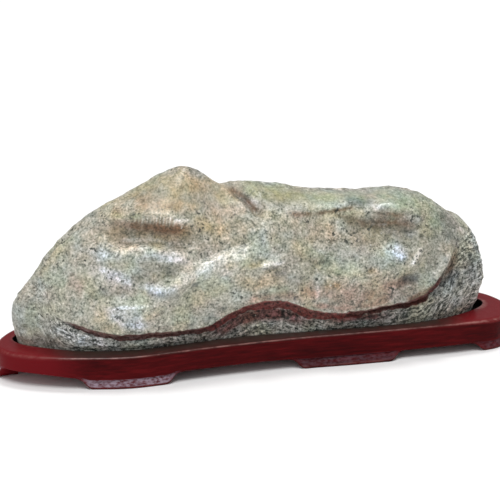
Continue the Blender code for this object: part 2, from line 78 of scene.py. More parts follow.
LIP_HEIGHT = [
    (-192, 92), (-186, 84), (-181, 68), (-176, 59), (-168, 55), (-156, 50.5), (-140, 46), (-122, 43.5),
    (-100, 43.5), (-70, 42.5), (-52, 42.5), (-40, 47), (-27, 54), (-12, 59), (5, 61), (16, 59.5), (30, 52.5),
    (44, 47), (62, 44.5), (82, 45), (100, 47.5), (124, 49.5), (140, 55), (151, 67), (163, 82), (173, 97),
    (184, 100),
]
PLAIN_LIP_HEIGHT = [(-207, 62), (-100, 54), (100, 54), (196, 74)]
SEAM_GAP = [
    (-186, 1), (-168, 1.4), (-150, 2), (-128, 3.4), (-100, 4.4), (-60, 4.5), (-40, 6.5), (8, 9), (32, 8.5),
    (60, 5.5), (104, 4.5), (122, 4.4), (136, 6), (148, 4), (160, 2.4), (178, 1),
]
SEAM_DEPTH = [(-184, 0), (-170, 2), (-150, 5), (-60, 8), (0, 10), (60, 8), (136, 8), (156, 4.5), (180, 0)]
LIP_STANDS_OUT = [(-185, 0), (-160, 1), (-100, 3), (-60, 3.5), (0, 1.5), (60, 2.5), (140, 1.5), (175, 0)]
SKIRT_SET_BACK = [
    (-185, 0), (-150, -1), (-100, -1), (-60, 0), (-20, 3), (8, 4), (40, 2), (100, 0), (140, 0.5), (160, 2),
    (182, 0),
]
SKIRT_TOP_SET_BACK = [
    (-185, 0), (-150, 1), (-60, 2), (-20, 6.5), (8, 9), (40, 6), (100, 2), (140, 2.5), (158, 4), (172, 2.5),
    (184, 0),
]
LIP_ROLL = 6.0
LIP_FADE = 16.0
# A stretch along the stone is its left end, the run over which it sets in there, its right end and its run.
SEAMED = (-208.0, 27.0, 197.0, 24.0)
PLAIN_GAP = 2.0

# Rows of points on the stone's foot, as height and distance in from the base outline.
FOOT_ROWS = [(UNDERSIDE, 7.0), (UNDERSIDE + 1.5, 3.0), (STAND_TOP - 3.0, 0.8), (STAND_TOP + 0.4, 0.0)]
# Rows on the skirt: how far up each is from the foot to the seam, and its shares of the two set-backs.
SKIRT_ROWS = [(0.33, 0.8, 0.0), (0.70, 0.5, 0.4), (1.0, 0.0, 1.0)]
SKIRT_CREST_BELOW_GAP = 1.0
# Rows inside the seam: how far down the gap each is, and its share of the depth.
SEAM_ROWS = [(0.72, 1.0), (0.28, 0.75)]
# Rows on the lip: height above it, and how far each is inside the lip's full stand-out.
LIP_ROWS = [(0.2, 0.8), (2.2, 0.0), (LIP_ROLL, 0.0)]
PLAN_SAMPLES = 4001
END_BLEND_FROM = 0.9

RELIEF = [
    # name, line of (x, z) places, width above, width below, height
    ("brow", [(-142, 130), (-122, 134.5), (-100, 135.5), (-84, 134), (-58, 129.5)], 20, 5.5, 5.5),
    ("hollow under the brow", [(-134, 126), (-116, 129), (-98, 129), (-80, 127), (-52, 122)], 6, 20, -9.5),
    ("shelf under the hollow", [(-144, 107), (-112, 111), (-84, 108), (-64, 102), (-50, 96)], 14, 13, 3.5),
    ("bowl above the slanting ridge", [(-118, 92), (-96, 95), (-72, 95)], 13, 12, -3.2),
    ("slanting ridge",
     [(-112, 77), (-88, 79), (-72, 86), (-56, 93), (-42, 97), (-28, 100), (-13, 103), (0, 112)],
     10, 18, 6.5),
    ("neck", [(-8, 108), (4, 120), (6, 136)], 11, 10, 3.5),
    ("groove beside the peak", [(-34, 161), (-22, 154), (-12, 146), (-5, 139), (6, 131)], 8, 8, -6.5),
    ("rim of the plateau", [(20, 127), (44, 129.5), (61, 130.5), (80, 132), (104, 135)], 13, 5, 3.5),
    ("right brow", [(90, 126.5), (106, 127), (120, 124), (142, 117)], 12, 5, 3.5),
    ("crease under the right brow",
     [(70, 125), (88, 122), (104, 121), (122, 120), (146, 114)], 5, 13, -5.5),
    ("right hollow", [(14, 120), (56, 113), (100, 111), (144, 102)], 14, 18, -3.5),
    ("right swell", [(52, 84), (112, 90), (132, 88)], 18, 30, 5.0),
    ("edge of the right swell", [(122, 78), (139, 104)], 10, 8, 2.0),
    ("right lip", [(138, 62), (149, 72), (157, 84), (163, 96)], 11, 9, 3.2),
    ("small ridge", [(-12, 87), (3, 91), (20, 96)], 7, 10, 2.5),
    ("left lobe", [(-152, 66), (-121, 70), (-90, 70)], 9, 18, 2.5),
    ("dent above the left lobe", [(-146, 82), (-112, 80)], 10, 9, -1.5),
    ("pit in the right face", [(114, 68), (132, 72)], 9, 9, -3.5),
]
WANDER = 4.0
WANDER_LENGTH = 34.0
FADED_END = 0.3
END_LEFT = 0.15

# Lumps: their size, their height and a seed. Some are all over the stone, others behind or on the skirt.
ALL_LUMPS = [(46, 1.6, 1), (19, 0.5, 2)]
BACK_LUMPS = [(60, 3.0, 3), (24, 1.2, 4)]
SKIRT_LUMPS = [(9, 1.6, 5)]
# How far the noise is shifted for each seed.
LUMP_SHIFT = (7.3, 3.1, 5.7)
# The relief and the lumps push each point away from a place inside: its X by this share, at this height.
INSIDE_SHARE, INSIDE_HEIGHT = 0.86, 66.0
# Where the masks change, as a start and a run: above the stand's top, above the lip for the face and for
# the skirt, and forwards from behind the base's middle.
RAISED_START, RAISED_RUN = 2.0, 6.0
FACE_START, FACE_RUN = 1.0, 5.0
SKIRT_START, SKIRT_RUN = -2.0, 3.0
FRONT_START, FRONT_RUN = 14.0, 22.0

# ---------------------------------------------------------------- the stone's finer shape

# Columns along the back, twice as many along the front, rows up the face, and the steps it is measured in.
BACK_COLUMNS = 220
FACE_ROWS = 110
FACE_SAMPLES = 160
# How many steps each stretch between two of the lower rows is cut into, from the underside up to the lip.
LOWER_ROW_SPLITS = [1, 1, 2, 5, 5, 5, 4, 3, 4, 3, 3]

FINE_RELIEF = [
    # name, line of (x, z) places, width above, width below, height
    ("crest of the brow",
     [(-116, 138.5), (-100, 139), (-86, 137.5), (-72, 135.5), (-60, 133)], 5, 3.2, 1.8),
    ("crease under the brow",
     [(-118, 134.5), (-100, 134.5), (-86, 133), (-72, 131), (-62, 129)], 4, 6, -1.8),
    ("crest of the shelf", [(-94, 108), (-78, 104.5), (-64, 101), (-56, 98)], 6, 6, 0.7),
    ("crest of the slanting ridge",
     [(-84, 82), (-72, 88), (-57, 95), (-44, 99.5), (-31, 102.5), (-13, 105)], 6, 6, 1.2),
    ("crest of the neck", [(-9, 108), (-6, 119), (0, 130)], 6, 6, 0.9),
    ("crest of the lobe", [(-138, 68.5), (-118, 70), (-102, 70)], 4, 3, 0.9),
    ("crest of the small ridge", [(-8, 92.5), (4, 94.5), (15, 95.5)], 3.5, 2.2, 1.6),
    ("crease under the small ridge", [(-7, 89.5), (4, 91), (14, 92)], 2, 3.5, -1.4),
    ("edge of the groove", [(-10, 145), (-4, 140.5), (2, 135)], 3.5, 3, 1.0),
    ("bed of the groove", [(-26, 152), (-17, 145), (-12, 141), (-6, 135.5), (1, 131)], 3.5, 3, -1.8),
    ("edge of the plateau", [(42, 132.5), (60, 133), (78, 133.5), (92, 135.5)], 4, 2.2, 1.2),
    ("crease under the edge", [(43, 129.5), (60, 129.8), (74, 130.8), (86, 132.5)], 2.2, 3.5, -1.4),
    ("edge of the right brow", [(93, 128), (104, 131), (113, 131.5), (122, 128)], 4, 3, 1.6),
    ("crease",
     [(58, 128), (72, 124.5), (82, 122), (91, 119.5), (104, 119), (122, 118.5), (138, 115)], 3, 3.5, -1.8),
    ("small pit", [(39, 120), (41, 120.5)], 2.2, 2.2, -1.4),
    ("rib on the swell", [(124, 84), (131, 91), (138, 98)], 2.6, 2.6, 1.3),
    ("rib over the arch", [(43, 60), (44, 66), (43, 74)], 2.4, 2.4, 0.9),
    ("left fold", [(74, 76), (66, 63), (62, 52)], 5, 5, 0.8),
    ("middle fold", [(104, 80), (98, 66), (94, 54)], 6, 5, 1.0),
    ("right fold", [(142, 76), (128, 62), (118, 52)], 6, 5, 1.0),
    ("shelf on the skirt", [(16, 42.5), (28, 41), (42, 38)], 3, 2.5, 1.2),
    ("pits under the arch", [(-40, 36), (-22, 44), (4, 48), (24, 45), (40, 40)], 4, 5, -1.6),
    ("pit by the seam", [(118, 70), (125, 72), (132, 71)], 5, 5, -1.4),
]
# Where the stone is smoothest and its grain quietest: lines of (x, z) places, widths above and below, and
# strength.
CALM = [
    ([(-16, 148), (20, 142), (60, 139), (100, 138), (140, 128)], 24, 8, 1.0),
    ([(-116, 146), (-80, 156), (-44, 148), (-18, 134)], 22, 16, 0.8),
]
# The lip's raggedness, as size, height and seed.
LIP_RAGGED = [(11, 0.9, 14), (4, 0.4, 15)]
# The fine relief wanders by this much, over stretches of about this length.
FINE_WANDER, FINE_WANDER_LENGTH = 1.2, 9.0
# Finer lumps than the solid's, again as size, height and seed.
FINE_LUMPS = [(8, 0.26, 8), (3.6, 0.16, 9)]
ROUGH_LUMPS = [(4, 0.85, 12)]
SEAM_LUMPS = [(3.6, 1.3, 16)]
FINE_BACK_LUMPS = [(10, 0.8, 13)]
STREAKS = [(15, 1.3, 11)]
# How much finer the skirt's streaks are across than along.
STREAK_SQUEEZE = 4.5
# The pits are where this noise is over its threshold, and they reach their depth over its run.
PIT_SIZE, PIT_SEED, PIT_DEPTH = 5.5, 10, 0.55
PIT_THRESHOLD, PIT_RUN = 0.28, 0.3
# How much fine roughness the stone loses where it is calm, and how rough its back is beside its skirt.
CALM_SMOOTHS = 0.6
BACK_ROUGHNESS = 0.6
# The seam's dirt and lumps fade out below its floor and above the lip over these runs, and at its ends.
SEAM_FLOOR_RUN = 3.0
SEAM_TOP_START, SEAM_TOP_RUN = 0.5, 2.5
SEAM_STRETCH = (-184, 32, 160, 14)
RUST_STRETCH = (-66, 30, 92, 34)
# How far the tints and the shine wander, and over what length.
TINT_WANDER, TINT_WANDER_LENGTH = 2.0, 14.0
SHINE_WANDER, SHINE_WANDER_LENGTH = 0.8, 7.0
# The skirt's finish: its strength at the left end, where and over what run it grows, and how strong it is
# behind.
SKIRT_AT_LEFT_END = 0.45
SKIRT_START_X, SKIRT_RUN_X = -200, 34
SKIRT_BEHIND = 0.55

# ---------------------------------------------------------------- the stand's curves, as in its solid

SEAT_FLOOR = 19.5
BOARD_BOTTOM = 9.3
APRON_BOTTOM = [(-200, 12.4), (-155, 9.3), (-20, 9.3), (60, 8.2), (200, 7.8)]
APRON_LEAN = 0.8
FOOT_BAND_TOP = 8.0
FOOT_EDGE_TOP = 2.2
FOOT_FLARE = [(-150, 0.4), (-80, 1.4), (30, 2.4), (80, 3.4), (150, 3.2), (200, 0.8)]
FOOT_COVE = 1.0
FOOT_DEPTH = 17.0
# How much of a foot is left at distances past its end: a rounded corner, a steep side, then a cove.
FOOT_END = [(-3, 1.0), (0, 0.93), (3, 0.65), (6, 0.28), (9, 0.08), (13, 0.0)]
EDGE_RADIUS_MIDDLE = 1.8
EDGE_RADIUS_ENDS = 4.2
SEAT_RIM_RADIUS = 1.2
SEAT_CLEARANCE = 0.7
SEAT_SPARE_RIGHT = 8.5
SEAT_SPARE_RIGHT_REACH = 16.0
SEAT_SPARE_LEFT = 2.5
SEAT_SPARE_LEFT_REACH = 8.0
STAND_OUTLINE = [
    (226.5, -9), (221, 17), (205, 34), (170, 44), (110, 50), (40, 52.2), (-40, 53.2), (-110, 52.8),
    (-165, 47), (-203, 33), (-220, 16), (-226.5, -3), (-221, -19), (-204, -32), (-178, -42.5),
    (-147, -49.8), (-118, -53.4), (-85, -50.5), (-40, -46), (20, -42.5), (80, -42), (140, -41.5),
    (180, -39.5), (210, -33.5),
]
OUTLINE_SPLITS = 48
SEAT_STEPS = 800
SIDE_FEET = [(-153, -87.5), (30, 109)]
RIGHT_FOOT_FROM = 194
LEFT_FOOT_TIP = -200
LEFT_FOOT_MIDDLE_Y, LEFT_FOOT_HALF = 3.0, 10.0
STAND_POINTS = 624


# ---------------------------------------------------------------- curves and banks


def curve_through(knots):
    """A smooth function through (place, value) knots, never past them and level beyond the ends."""
    places, values = np.array(knots, float).T
    step = np.diff(places)
    slope = np.diff(values) / step
    tangent = np.zeros(len(places))
    both = slope[:-1] * slope[1:]
    weighted = slope[:-1] * (step[:-1] + 2 * step[1:]) + slope[1:] * (2 * step[:-1] + step[1:])
    rising = both > 0
    tangent[1:-1][rising] = 3 * both[rising] * (step[:-1] + step[1:])[rising] / weighted[rising]

    def value(place):
        place = np.clip(np.asarray(place, float), places[0], places[-1])
        i = np.clip(np.searchsorted(places, place, side="right") - 1, 0, len(step) - 1)
        t = (place - places[i]) / step[i]
        rise = values[i + 1] - values[i]
        curl = step[i] * (tangent[i] * (1 - t) - tangent[i + 1] * t)
        return values[i] + rise * t * t * (3 - 2 * t) + curl * t * (1 - t)

    return value


def smooth_step(t):
    t = np.clip(t, 0, 1)
    return t * t * (3 - 2 * t)


def within(x, stretch):
    """1 well inside a stretch along x, and 0 past its ends."""
    left, left_run, right, right_run = stretch
    return smooth_step((x - left) / left_run) * smooth_step((right - x) / right_run)


def lumps(points, size, seed):
    """Smooth lumps of about that size in millimetres, from -1 to 1, at each point."""
    shift = Vector([seed * part for part in LUMP_SHIFT])
    return np.array([noise.noise(Vector(p) / size + shift) for p in points])


def summed_lumps(points, banks):
    """The sum of several banks of lumps, each a size, a height and a seed, at each point."""
    return sum(height * lumps(points, size, seed) for size, height, seed in banks)


def smooth_between(around, t):
    """The place at share t between the middle two of four places, on a smooth curve through them all."""
    before, start, stop, after = around
    square = 2 * before - 5 * start + 4 * stop - after
    cube = 3 * start - before - 3 * stop + after
    return 0.5 * (2 * start + (stop - before) * t + square * t**2 + cube * t**3)


def line_relief(points, line, width_above, width_below):
    """A smooth bank at each point: 1 on a line of places, 0 past its width, and fading to its ends."""
    line = np.array(line, float)
    starts = np.concatenate([[0], np.cumsum(np.linalg.norm(np.diff(line, axis=0), axis=1))])
    height = np.zeros(len(points))
    for a, b, start in zip(line[:-1], line[1:], starts):
        span = b - a
        length = np.hypot(*span)
        t = np.clip((points - a) @ span / length**2, 0, 1)
        gap = points - (a + t[:, None] * span)
        distance = np.maximum(np.hypot(gap[:, 0], gap[:, 1]), 1e-9)
        upness = (span[0] * gap[:, 1] - span[1] * gap[:, 0]) / (distance * length)
        width = width_below + (width_above - width_below) * (1 + upness) / 2
        near = np.clip(1 - (distance / width) ** 2, 0, 1) ** 2
        share = (start + t * length) / starts[-1]
        ends = smooth_step(share / FADED_END + END_LEFT) * smooth_step((1 - share) / FADED_END + END_LEFT)
        height = np.maximum(height, near * ends)
    return height


def wandered(x, z, amount, length):
    """The (x, z) places moved about by that amount, over stretches of that length."""
    places = np.stack([x, np.zeros_like(x), z], 1)
    return np.stack([x + amount * lumps(places, length, 6), z + amount * lumps(places, length, 7)], 1)


def relief_height(points, lines):
    """How far the face stands out at each (x, z) point, from all the lines."""
    height = np.zeros(len(points))
    for _, line, width_above, width_below, amount in lines:
        height += amount * line_relief(points, line, width_above, width_below)
    return height


def spot_share(points, spots):
    """How strongly a set of spots covers each (x, z) point. Each is a line, its widths and its strength."""
    share = np.zeros(len(points))
    for line, above, below, strength in spots:
        share = np.maximum(share, strength * line_relief(points, line, above, below))
    return share


# ---------------------------------------------------------------- stone


def end_rounding(along):
    """How much of its full depth the plan has at a place along it, from -1 at one end to 1 at the other."""
    return (1 - np.clip(np.abs(along), 0, 1) ** BASE_ROUNDNESS) ** (1 / BASE_ROUNDNESS)


def places_along(steps):
    """Places from -1 to 1, evenly spaced round the stone's plan, so they crowd at its round ends."""
    angle = np.linspace(0, math.pi, PLAN_SAMPLES)
    along = -np.sign(np.cos(angle)) * np.abs(np.cos(angle)) ** (2 / BASE_ROUNDNESS)
    aside = np.sin(angle) ** (2 / BASE_ROUNDNESS) * BASE_HALF_DEPTH / ((BASE_RIGHT - BASE_LEFT) / 2)
    run = np.concatenate([[0], np.cumsum(np.hypot(np.diff(along), np.diff(aside)))])
    found = np.interp(np.linspace(0, run[-1], steps + 1), run, along)
    found[0], found[-1] = -1, 1
    return found


def base_line(along, side):
    """X and Y of the stone's base outline. side is -1 for the front and 1 for the back."""
    x = BASE_LEFT + (BASE_RIGHT - BASE_LEFT) * (along + 1) / 2
    depth = curve_through(BASE_FRONT if side < 0 else BASE_BACK)(x)
    return x, BASE_MIDDLE_Y + side * depth * end_rounding(along)


def lip_line(x):
    """The height of the lip at each x. It is a little ragged."""
    places = np.stack([x, np.zeros_like(x), np.zeros_like(x)], 1)
    return curve_through(LIP_HEIGHT)(x) + summed_lumps(places, LIP_RAGGED)


def stone_columns(along, side):
    """What shapes each column of the stone's front or back: its base, spine point, belly and top."""
    x, y = base_line(along, side)
    spine_x = RIDGE_LEFT + (RIDGE_RIGHT - RIDGE_LEFT) * (along + 1) / 2
    spine = np.stack([spine_x, curve_through(RIDGE_Y)(spine_x)], 1)
    arm = np.stack([x, y], 1) - spine
    reach = np.linalg.norm(arm, axis=1)
    # Both sides use the back's belly at the very ends, where their columns meet.
    end = smooth_step((np.abs(along) - END_BLEND_FROM) / (1 - END_BLEND_FROM))
    back_out, back_fullness = curve_through(BELLY_OUT_BACK)(x), curve_through(FULLNESS_BACK)(x)
    front_out, front_fullness = curve_through(BELLY_OUT_FRONT)(x), curve_through(FULLNESS_FRONT)(x)
    own = 1 - end if side < 0 else np.zeros_like(x)
    return {
        "x": x,
        "spine": spine,
        "away": arm / reach[:, None],
        "reach": reach,
        "top": curve_through(RIDGE_HEIGHT)(spine_x),
        "belly": curve_through(BELLY_HEIGHT)(x),
        "belly_out": back_out + own * (front_out - back_out),
        "fullness": back_fullness + own * (front_fullness - back_fullness),
        "seamed": within(x, SEAMED) if side < 0 else np.zeros_like(x),
    }


def plain_radius(columns, height):
    """Distance from the spine to the plain surface at one height for each column."""
    rise = np.clip((height - STAND_TOP) / (columns["belly"] - STAND_TOP), 0, 1)
    below = columns["reach"] + columns["belly_out"] * np.sin(0.5 * math.pi * rise)
    climb = np.clip((height - columns["belly"]) / (columns["top"] - columns["belly"]), 0, 1)
    return below * (1 - climb ** columns["fullness"]) ** (1 / columns["fullness"])


def lower_rows(columns):
    """Rows from the underside up to just above the lip, as (height, radius) for each column.

    Where the stone is seamed they follow the skirt, seam and lip, and elsewhere they rise evenly."""
    x, reach, seamed = columns["x"], columns["reach"], columns["seamed"]
    plain_lip = curve_through(PLAIN_LIP_HEIGHT)(x)
    lip = plain_lip + seamed * (lip_line(x) - plain_lip)
    gap = PLAIN_GAP + seamed * (curve_through(SEAM_GAP)(x) - PLAIN_GAP)
    deep = curve_through(SEAM_DEPTH)(x)
    stands_out = curve_through(LIP_STANDS_OUT)(x)
    set_back = curve_through(SKIRT_SET_BACK)(x)
    top_set_back = curve_through(SKIRT_TOP_SET_BACK)(x)

    rows = [(np.full_like(x, height), reach - inset) for height, inset in FOOT_ROWS]
    foot = FOOT_ROWS[-1][0]
    crest = lip - gap - SKIRT_CREST_BELOW_GAP
    offsets = [
        (foot + up * (crest - foot), -low * set_back - high * top_set_back) for up, low, high in SKIRT_ROWS
    ]
    offsets += [(lip - down * gap, stands_out - share * deep) for down, share in SEAM_ROWS]
    offsets += [(lip + above, stands_out - inset) for above, inset in LIP_ROWS]
    for height, offset in offsets:
        rows.append((height, plain_radius(columns, height) + seamed * offset))
    return rows, lip, seamed * stands_out


def split_rows(rows, splits):
    """The same rows with a smooth curve through them, in that many steps between each row and the next."""
    rows = np.array(rows)
    found = [rows[0]]
    for i, steps in enumerate(splits):
        around = [rows[min(max(i + j, 0), len(rows) - 1)] for j in (-1, 0, 1, 2)]
        found += [smooth_between(around, t) for t in np.arange(1, steps + 1) / steps]
    return np.array(found)


def stone_sheet(along, side, face_rows):
    """The front or the back of the stone before its relief, as points [step along][row up]."""
    columns = stone_columns(along, side)
    rows, lip, stands_out = lower_rows(columns)
    # The face is measured finely from above the lip to the ridge, and its rows lie evenly along that line.
    start = lip + LIP_ROLL
    rise = np.sin(np.linspace(0, 0.5 * math.pi, FACE_SAMPLES))[:, None]
    heights = start + (columns["top"] - start) * rise
    fade = 1 - smooth_step((heights - start) / LIP_FADE)
    radii = np.array([plain_radius(columns, height) for height in heights]) + fade * stands_out
    run = np.cumsum(np.hypot(np.diff(heights, axis=0), np.diff(radii, axis=0)), axis=0)
    run = np.concatenate([np.zeros((1, len(along))), run])
    shares = np.arange(1, face_rows + 1) / face_rows
    face = np.empty((len(along), face_rows, 2))
    for i in range(len(along)):
        face[i, :, 0] = np.interp(shares * run[-1, i], run[:, i], heights[:, i])
        face[i, :, 1] = np.interp(shares * run[-1, i], run[:, i], radii[:, i])
    lower = split_rows(rows, LOWER_ROW_SPLITS).transpose(2, 0, 1)
    profile = np.concatenate([lower, face], axis=1)

    sheet = np.empty((*profile.shape[:2], 3))
    sheet[:, :, :2] = columns["spine"][:, None] + columns["away"][:, None] * profile[:, :, 1:]
    sheet[:, :, 2] = profile[:, :, 0]
    return sheet


def stone_mesh():
    """Vertices and faces of the stone before its relief. The front has two columns to each one behind."""
    front_columns = 2 * BACK_COLUMNS
    along = places_along(front_columns)
    front = stone_sheet(along, -1, FACE_ROWS)
    back = stone_sheet(along[::2], 1, FACE_ROWS)
    rows = front.shape[1]
    for end in (0, -1):
        front[end] = (front[end] + back[end]) / 2

    front_index = np.arange(front.shape[0] * rows).reshape(-1, rows)
    back_index = np.empty(back.shape[:2], int)
    own = np.ones(back.shape[:2], bool)
    own[0] = own[-1] = own[:, -1] = False
    back_index[own] = front_index.size + np.arange(own.sum())
    back_index[~own] = front_index[::2][~own]
    points = np.concatenate([front.reshape(-1, 3), back[own]])

    faces = []
    for k in range(front_columns):
        left, right = front_index[k], front_index[k + 1]
        faces += [(left[r], right[r], right[r + 1], left[r + 1]) for r in range(rows - 1)]
    for k in range(BACK_COLUMNS):
        left, right = back_index[k], back_index[k + 1]
        faces += [(left[r], left[r + 1], right[r + 1], right[r]) for r in range(rows - 2)]
        # The last row and the underside join two front columns to one back column.
        last = rows - 2
        middle = front_index[2 * k + 1]
        faces += [(left[last], left[-1], middle[-1]), (left[last], middle[-1], right[last])]
        faces += [(right[last], middle[-1], right[-1])]
        near_left, near_right = front_index[2 * k, 0], front_index[2 * k + 2, 0]
        if k > 0:
            faces.append((near_left, left[0], middle[0]))
        faces.append((left[0], right[0], middle[0]))
        if k < BACK_COLUMNS - 1:
            faces.append((near_right, middle[0], right[0]))
    return points, faces


def stone_masks(points):
    """Where each finish lies on the stone, from 0 to 1 at each point, and how far each is above the lip."""
    x = points[:, 0]
    front = smooth_step((BASE_MIDDLE_Y + FRONT_START - points[:, 1]) / FRONT_RUN)
    above_lip = points[:, 2] - lip_line(x)
    raised = smooth_step((points[:, 2] - STAND_TOP - RAISED_START) / RAISED_RUN)
    seam_floor = smooth_step((above_lip + curve_through(SEAM_GAP)(x)) / SEAM_FLOOR_RUN + 1)
    in_seam = seam_floor * (1 - smooth_step((above_lip - SEAM_TOP_START) / SEAM_TOP_RUN))
    return {
        "front": front,
        "raised": raised,
        "above_lip": above_lip,
        "face": front * smooth_step((above_lip - FACE_START) / FACE_RUN),
        "skirt": front * raised * (1 - smooth_step((above_lip - SKIRT_START) / SKIRT_RUN)),
        "seam": front * in_seam * within(x, SEAM_STRETCH),
    }


def flow_places(points, masks):
    """Places squeezed towards the lip, so that noise on them runs along with the seam."""
    return np.stack([points[:, 0], points[:, 1], masks["above_lip"] * STREAK_SQUEEZE], 1)


def weather(points, masks):
    """Moves the stone's points outwards and inwards: its face's relief, its lumps and its pits."""
    inside = points * (INSIDE_SHARE, 0, 0) + (0, BASE_MIDDLE_Y, INSIDE_HEIGHT)
    outward = points - inside
    outward /= np.linalg.norm(outward, axis=1)[:, None]
    raised, face, skirt = masks["raised"], masks["face"], masks["skirt"]
    behind = raised * (1 - masks["front"])
    x, z = points[:, 0], points[:, 2]

    move = relief_height(wandered(x, z, WANDER, WANDER_LENGTH), RELIEF) * face
    masks["rise"] = move.copy()
    move += raised * summed_lumps(points, ALL_LUMPS)
    move += behind * summed_lumps(points, BACK_LUMPS)
    move += skirt * summed_lumps(points, SKIRT_LUMPS)
    shaped = points + outward * move[:, None]

    # Finer than the solid: sharp crests, shallow lumps, pits, and streaks that run along with the seam.
    rough = raised * (1 - CALM_SMOOTHS * spot_share(shaped[:, [0, 2]], CALM))
    places = wandered(shaped[:, 0], shaped[:, 2], FINE_WANDER, FINE_WANDER_LENGTH)
    move += relief_height(places, FINE_RELIEF) * raised * masks["front"]
    move += rough * summed_lumps(shaped, FINE_LUMPS)
    pits = smooth_step((lumps(shaped, PIT_SIZE, PIT_SEED) - PIT_THRESHOLD) / PIT_RUN)
    move -= rough * PIT_DEPTH * pits
    move += skirt * summed_lumps(flow_places(points, masks), STREAKS)
    move += (skirt + BACK_ROUGHNESS * behind) * summed_lumps(points, ROUGH_LUMPS)
    move += masks["seam"] * summed_lumps(points, SEAM_LUMPS)
    move += behind * summed_lumps(points, FINE_BACK_LUMPS)
    return points + outward * move[:, None]


# ---------------------------------------------------------------- stand


def evenly_spaced(ring, count):
    """The closed line through the ring's points, as that many points evenly spaced along it."""
    ring = np.concatenate([ring, ring[:1]])
    run = np.concatenate([[0], np.cumsum(np.linalg.norm(np.diff(ring, axis=0), axis=1))])
    at = np.linspace(0, run[-1], count, endpoint=False)
    return np.stack([np.interp(at, run, ring[:, 0]), np.interp(at, run, ring[:, 1])], 1)


def closed_outline(corners, count):
    """A smooth closed line through the corners, as points evenly spaced along it from the first."""
    corners = np.array(corners, float)
    dense = []
    for i in range(len(corners)):
        around = [corners[(i + j) % len(corners)] for j in (-1, 0, 1, 2)]
        dense += [smooth_between(around, t) for t in np.linspace(0, 1, OUTLINE_SPLITS, endpoint=False)]
    return evenly_spaced(np.array(dense), count)


def outward_of(outline):
    """The unit direction in plan away from a closed, counter-clockwise outline, at each of its points."""
    along = np.roll(outline, -1, 0) - np.roll(outline, 1, 0)
    out = np.stack([along[:, 1], -along[:, 0]], 1)
    return out / np.linalg.norm(out, axis=1)[:, None]


def foot_share(outline):
    """How much of a foot there is at each point of the outline, from 0 under the apron to 1 at a foot."""
    x = outline[:, 0]
    past = RIGHT_FOOT_FROM - x
    for start, stop in SIDE_FEET:
        past = np.minimum(past, np.maximum(start - x, x - stop))
    beside = np.abs(outline[:, 1] - LEFT_FOOT_MIDDLE_Y) - LEFT_FOOT_HALF
    past = np.where(x < LEFT_FOOT_TIP, np.minimum(past, beside), past)
    return curve_through(FOOT_END)(past)


def seat_outline(outline):
    """The outline of the seat, one point for each point of the stand's, so that the top is one band."""
    along = places_along(SEAT_STEPS)
    front_x, front_y = base_line(along, -1)
    back_x, back_y = base_line(along[::-1], 1)
    ring = np.concatenate([np.stack([back_x, back_y], 1), np.stack([front_x, front_y], 1)[1:-1]])
    ring = ring + outward_of(ring) * SEAT_CLEARANCE
    aside = ring[:, 1] - BASE_MIDDLE_Y
    spare_right = SEAT_SPARE_RIGHT * np.exp(-((aside / SEAT_SPARE_RIGHT_REACH) ** 2))
    spare_left = SEAT_SPARE_LEFT * np.exp(-((aside / SEAT_SPARE_LEFT_REACH) ** 2))
    ring[:, 0] += np.where(ring[:, 0] > 0, spare_right, -spare_left)
    return evenly_spaced(ring, len(outline))


STAND_MASKS = ("top", "edge", "band", "seat", "near")
# The seat's floor and wall, as distance out from the seat's outline and height.
SEAT_WALL = [(-3.0, SEAT_FLOOR), (-0.9, SEAT_FLOOR + 0.8), (0, SEAT_FLOOR + 3.0),
             (0, STAND_TOP - SEAT_RIM_RADIUS)]
# How far from the middle the rim gets wear and a painted highlight and the edge is rounder, each with its
# run, and the top's dip.
RIM_WEAR_AND_HIGHLIGHT_FROM, RIM_WEAR_AND_HIGHLIGHT_RUN = 188, 10
ROUND_ENDS_FROM, ROUND_ENDS_RUN = 150, 60
TOP_DIP = 0.12


class Rings:
    """The stand's closed rings of points, from the seat's floor outwards, and the masks at each point."""

    def __init__(self):
        self.points = []
        self.masks = []

    def add(self, plan, away, offset, height, **shares):
        """One more ring, that far outside its plan and at that height."""
        offset = np.broadcast_to(offset, len(plan))
        height = np.broadcast_to(height, len(plan))
        self.points.append(np.column_stack([plan + away * offset[:, None], height]))
        columns = [np.broadcast_to(shares.get(name, 0.0), len(plan)) for name in STAND_MASKS]
        self.masks.append(np.column_stack(columns))


def add_seat(rings, seat, out):
    """The seat's floor, its wall and the rounded rim of the hole."""
    # The seat's floor and wall carry the seat mask, which paints shade on them.
    for offset, height in SEAT_WALL:
        rings.add(seat, out, offset, height, seat=1.0)
    # Near the ends the rim gets wear and a painted highlight.
    rubbed_and_painted_light = smooth_step((np.abs(seat[:, 0]) - RIM_WEAR_AND_HIGHLIGHT_FROM) / RIM_WEAR_AND_HIGHLIGHT_RUN)
    for turn in range(15, 91, 15):
        across, up = math.cos(math.radians(turn)), math.sin(math.radians(turn))
        rings.add(seat, out, SEAT_RIM_RADIUS * (1 - across), STAND_TOP - SEAT_RIM_RADIUS * (1 - up),
                  top=1.0, near=1.0, seat=across, edge=rubbed_and_painted_light * up)


def add_top(rings, rim, edge_start, out):
    """The top, from the seat's rim to the edge. It dips a little between them."""
    for share in (0.25, 0.5, 0.75):
        plan = rim + (edge_start - rim) * share
        rings.add(plan, out, 0, STAND_TOP - TOP_DIP * math.sin(math.pi * share), top=1.0, near=1 - share)


def add_edge(rings, outline, out, radius):
    """The board's rounded edge."""
    # The edge mask peaks halfway round the rounding, where wear and a painted highlight run along the arris.
    for turn in range(0, 91, 10):
        angle = math.radians(turn)
        rings.add(outline, out, radius * (math.sin(angle) - 1), STAND_TOP - radius * (1 - math.cos(angle)),
                  top=max(0.0, math.cos(angle)) ** 0.5, edge=math.sin(2 * angle) ** 4)


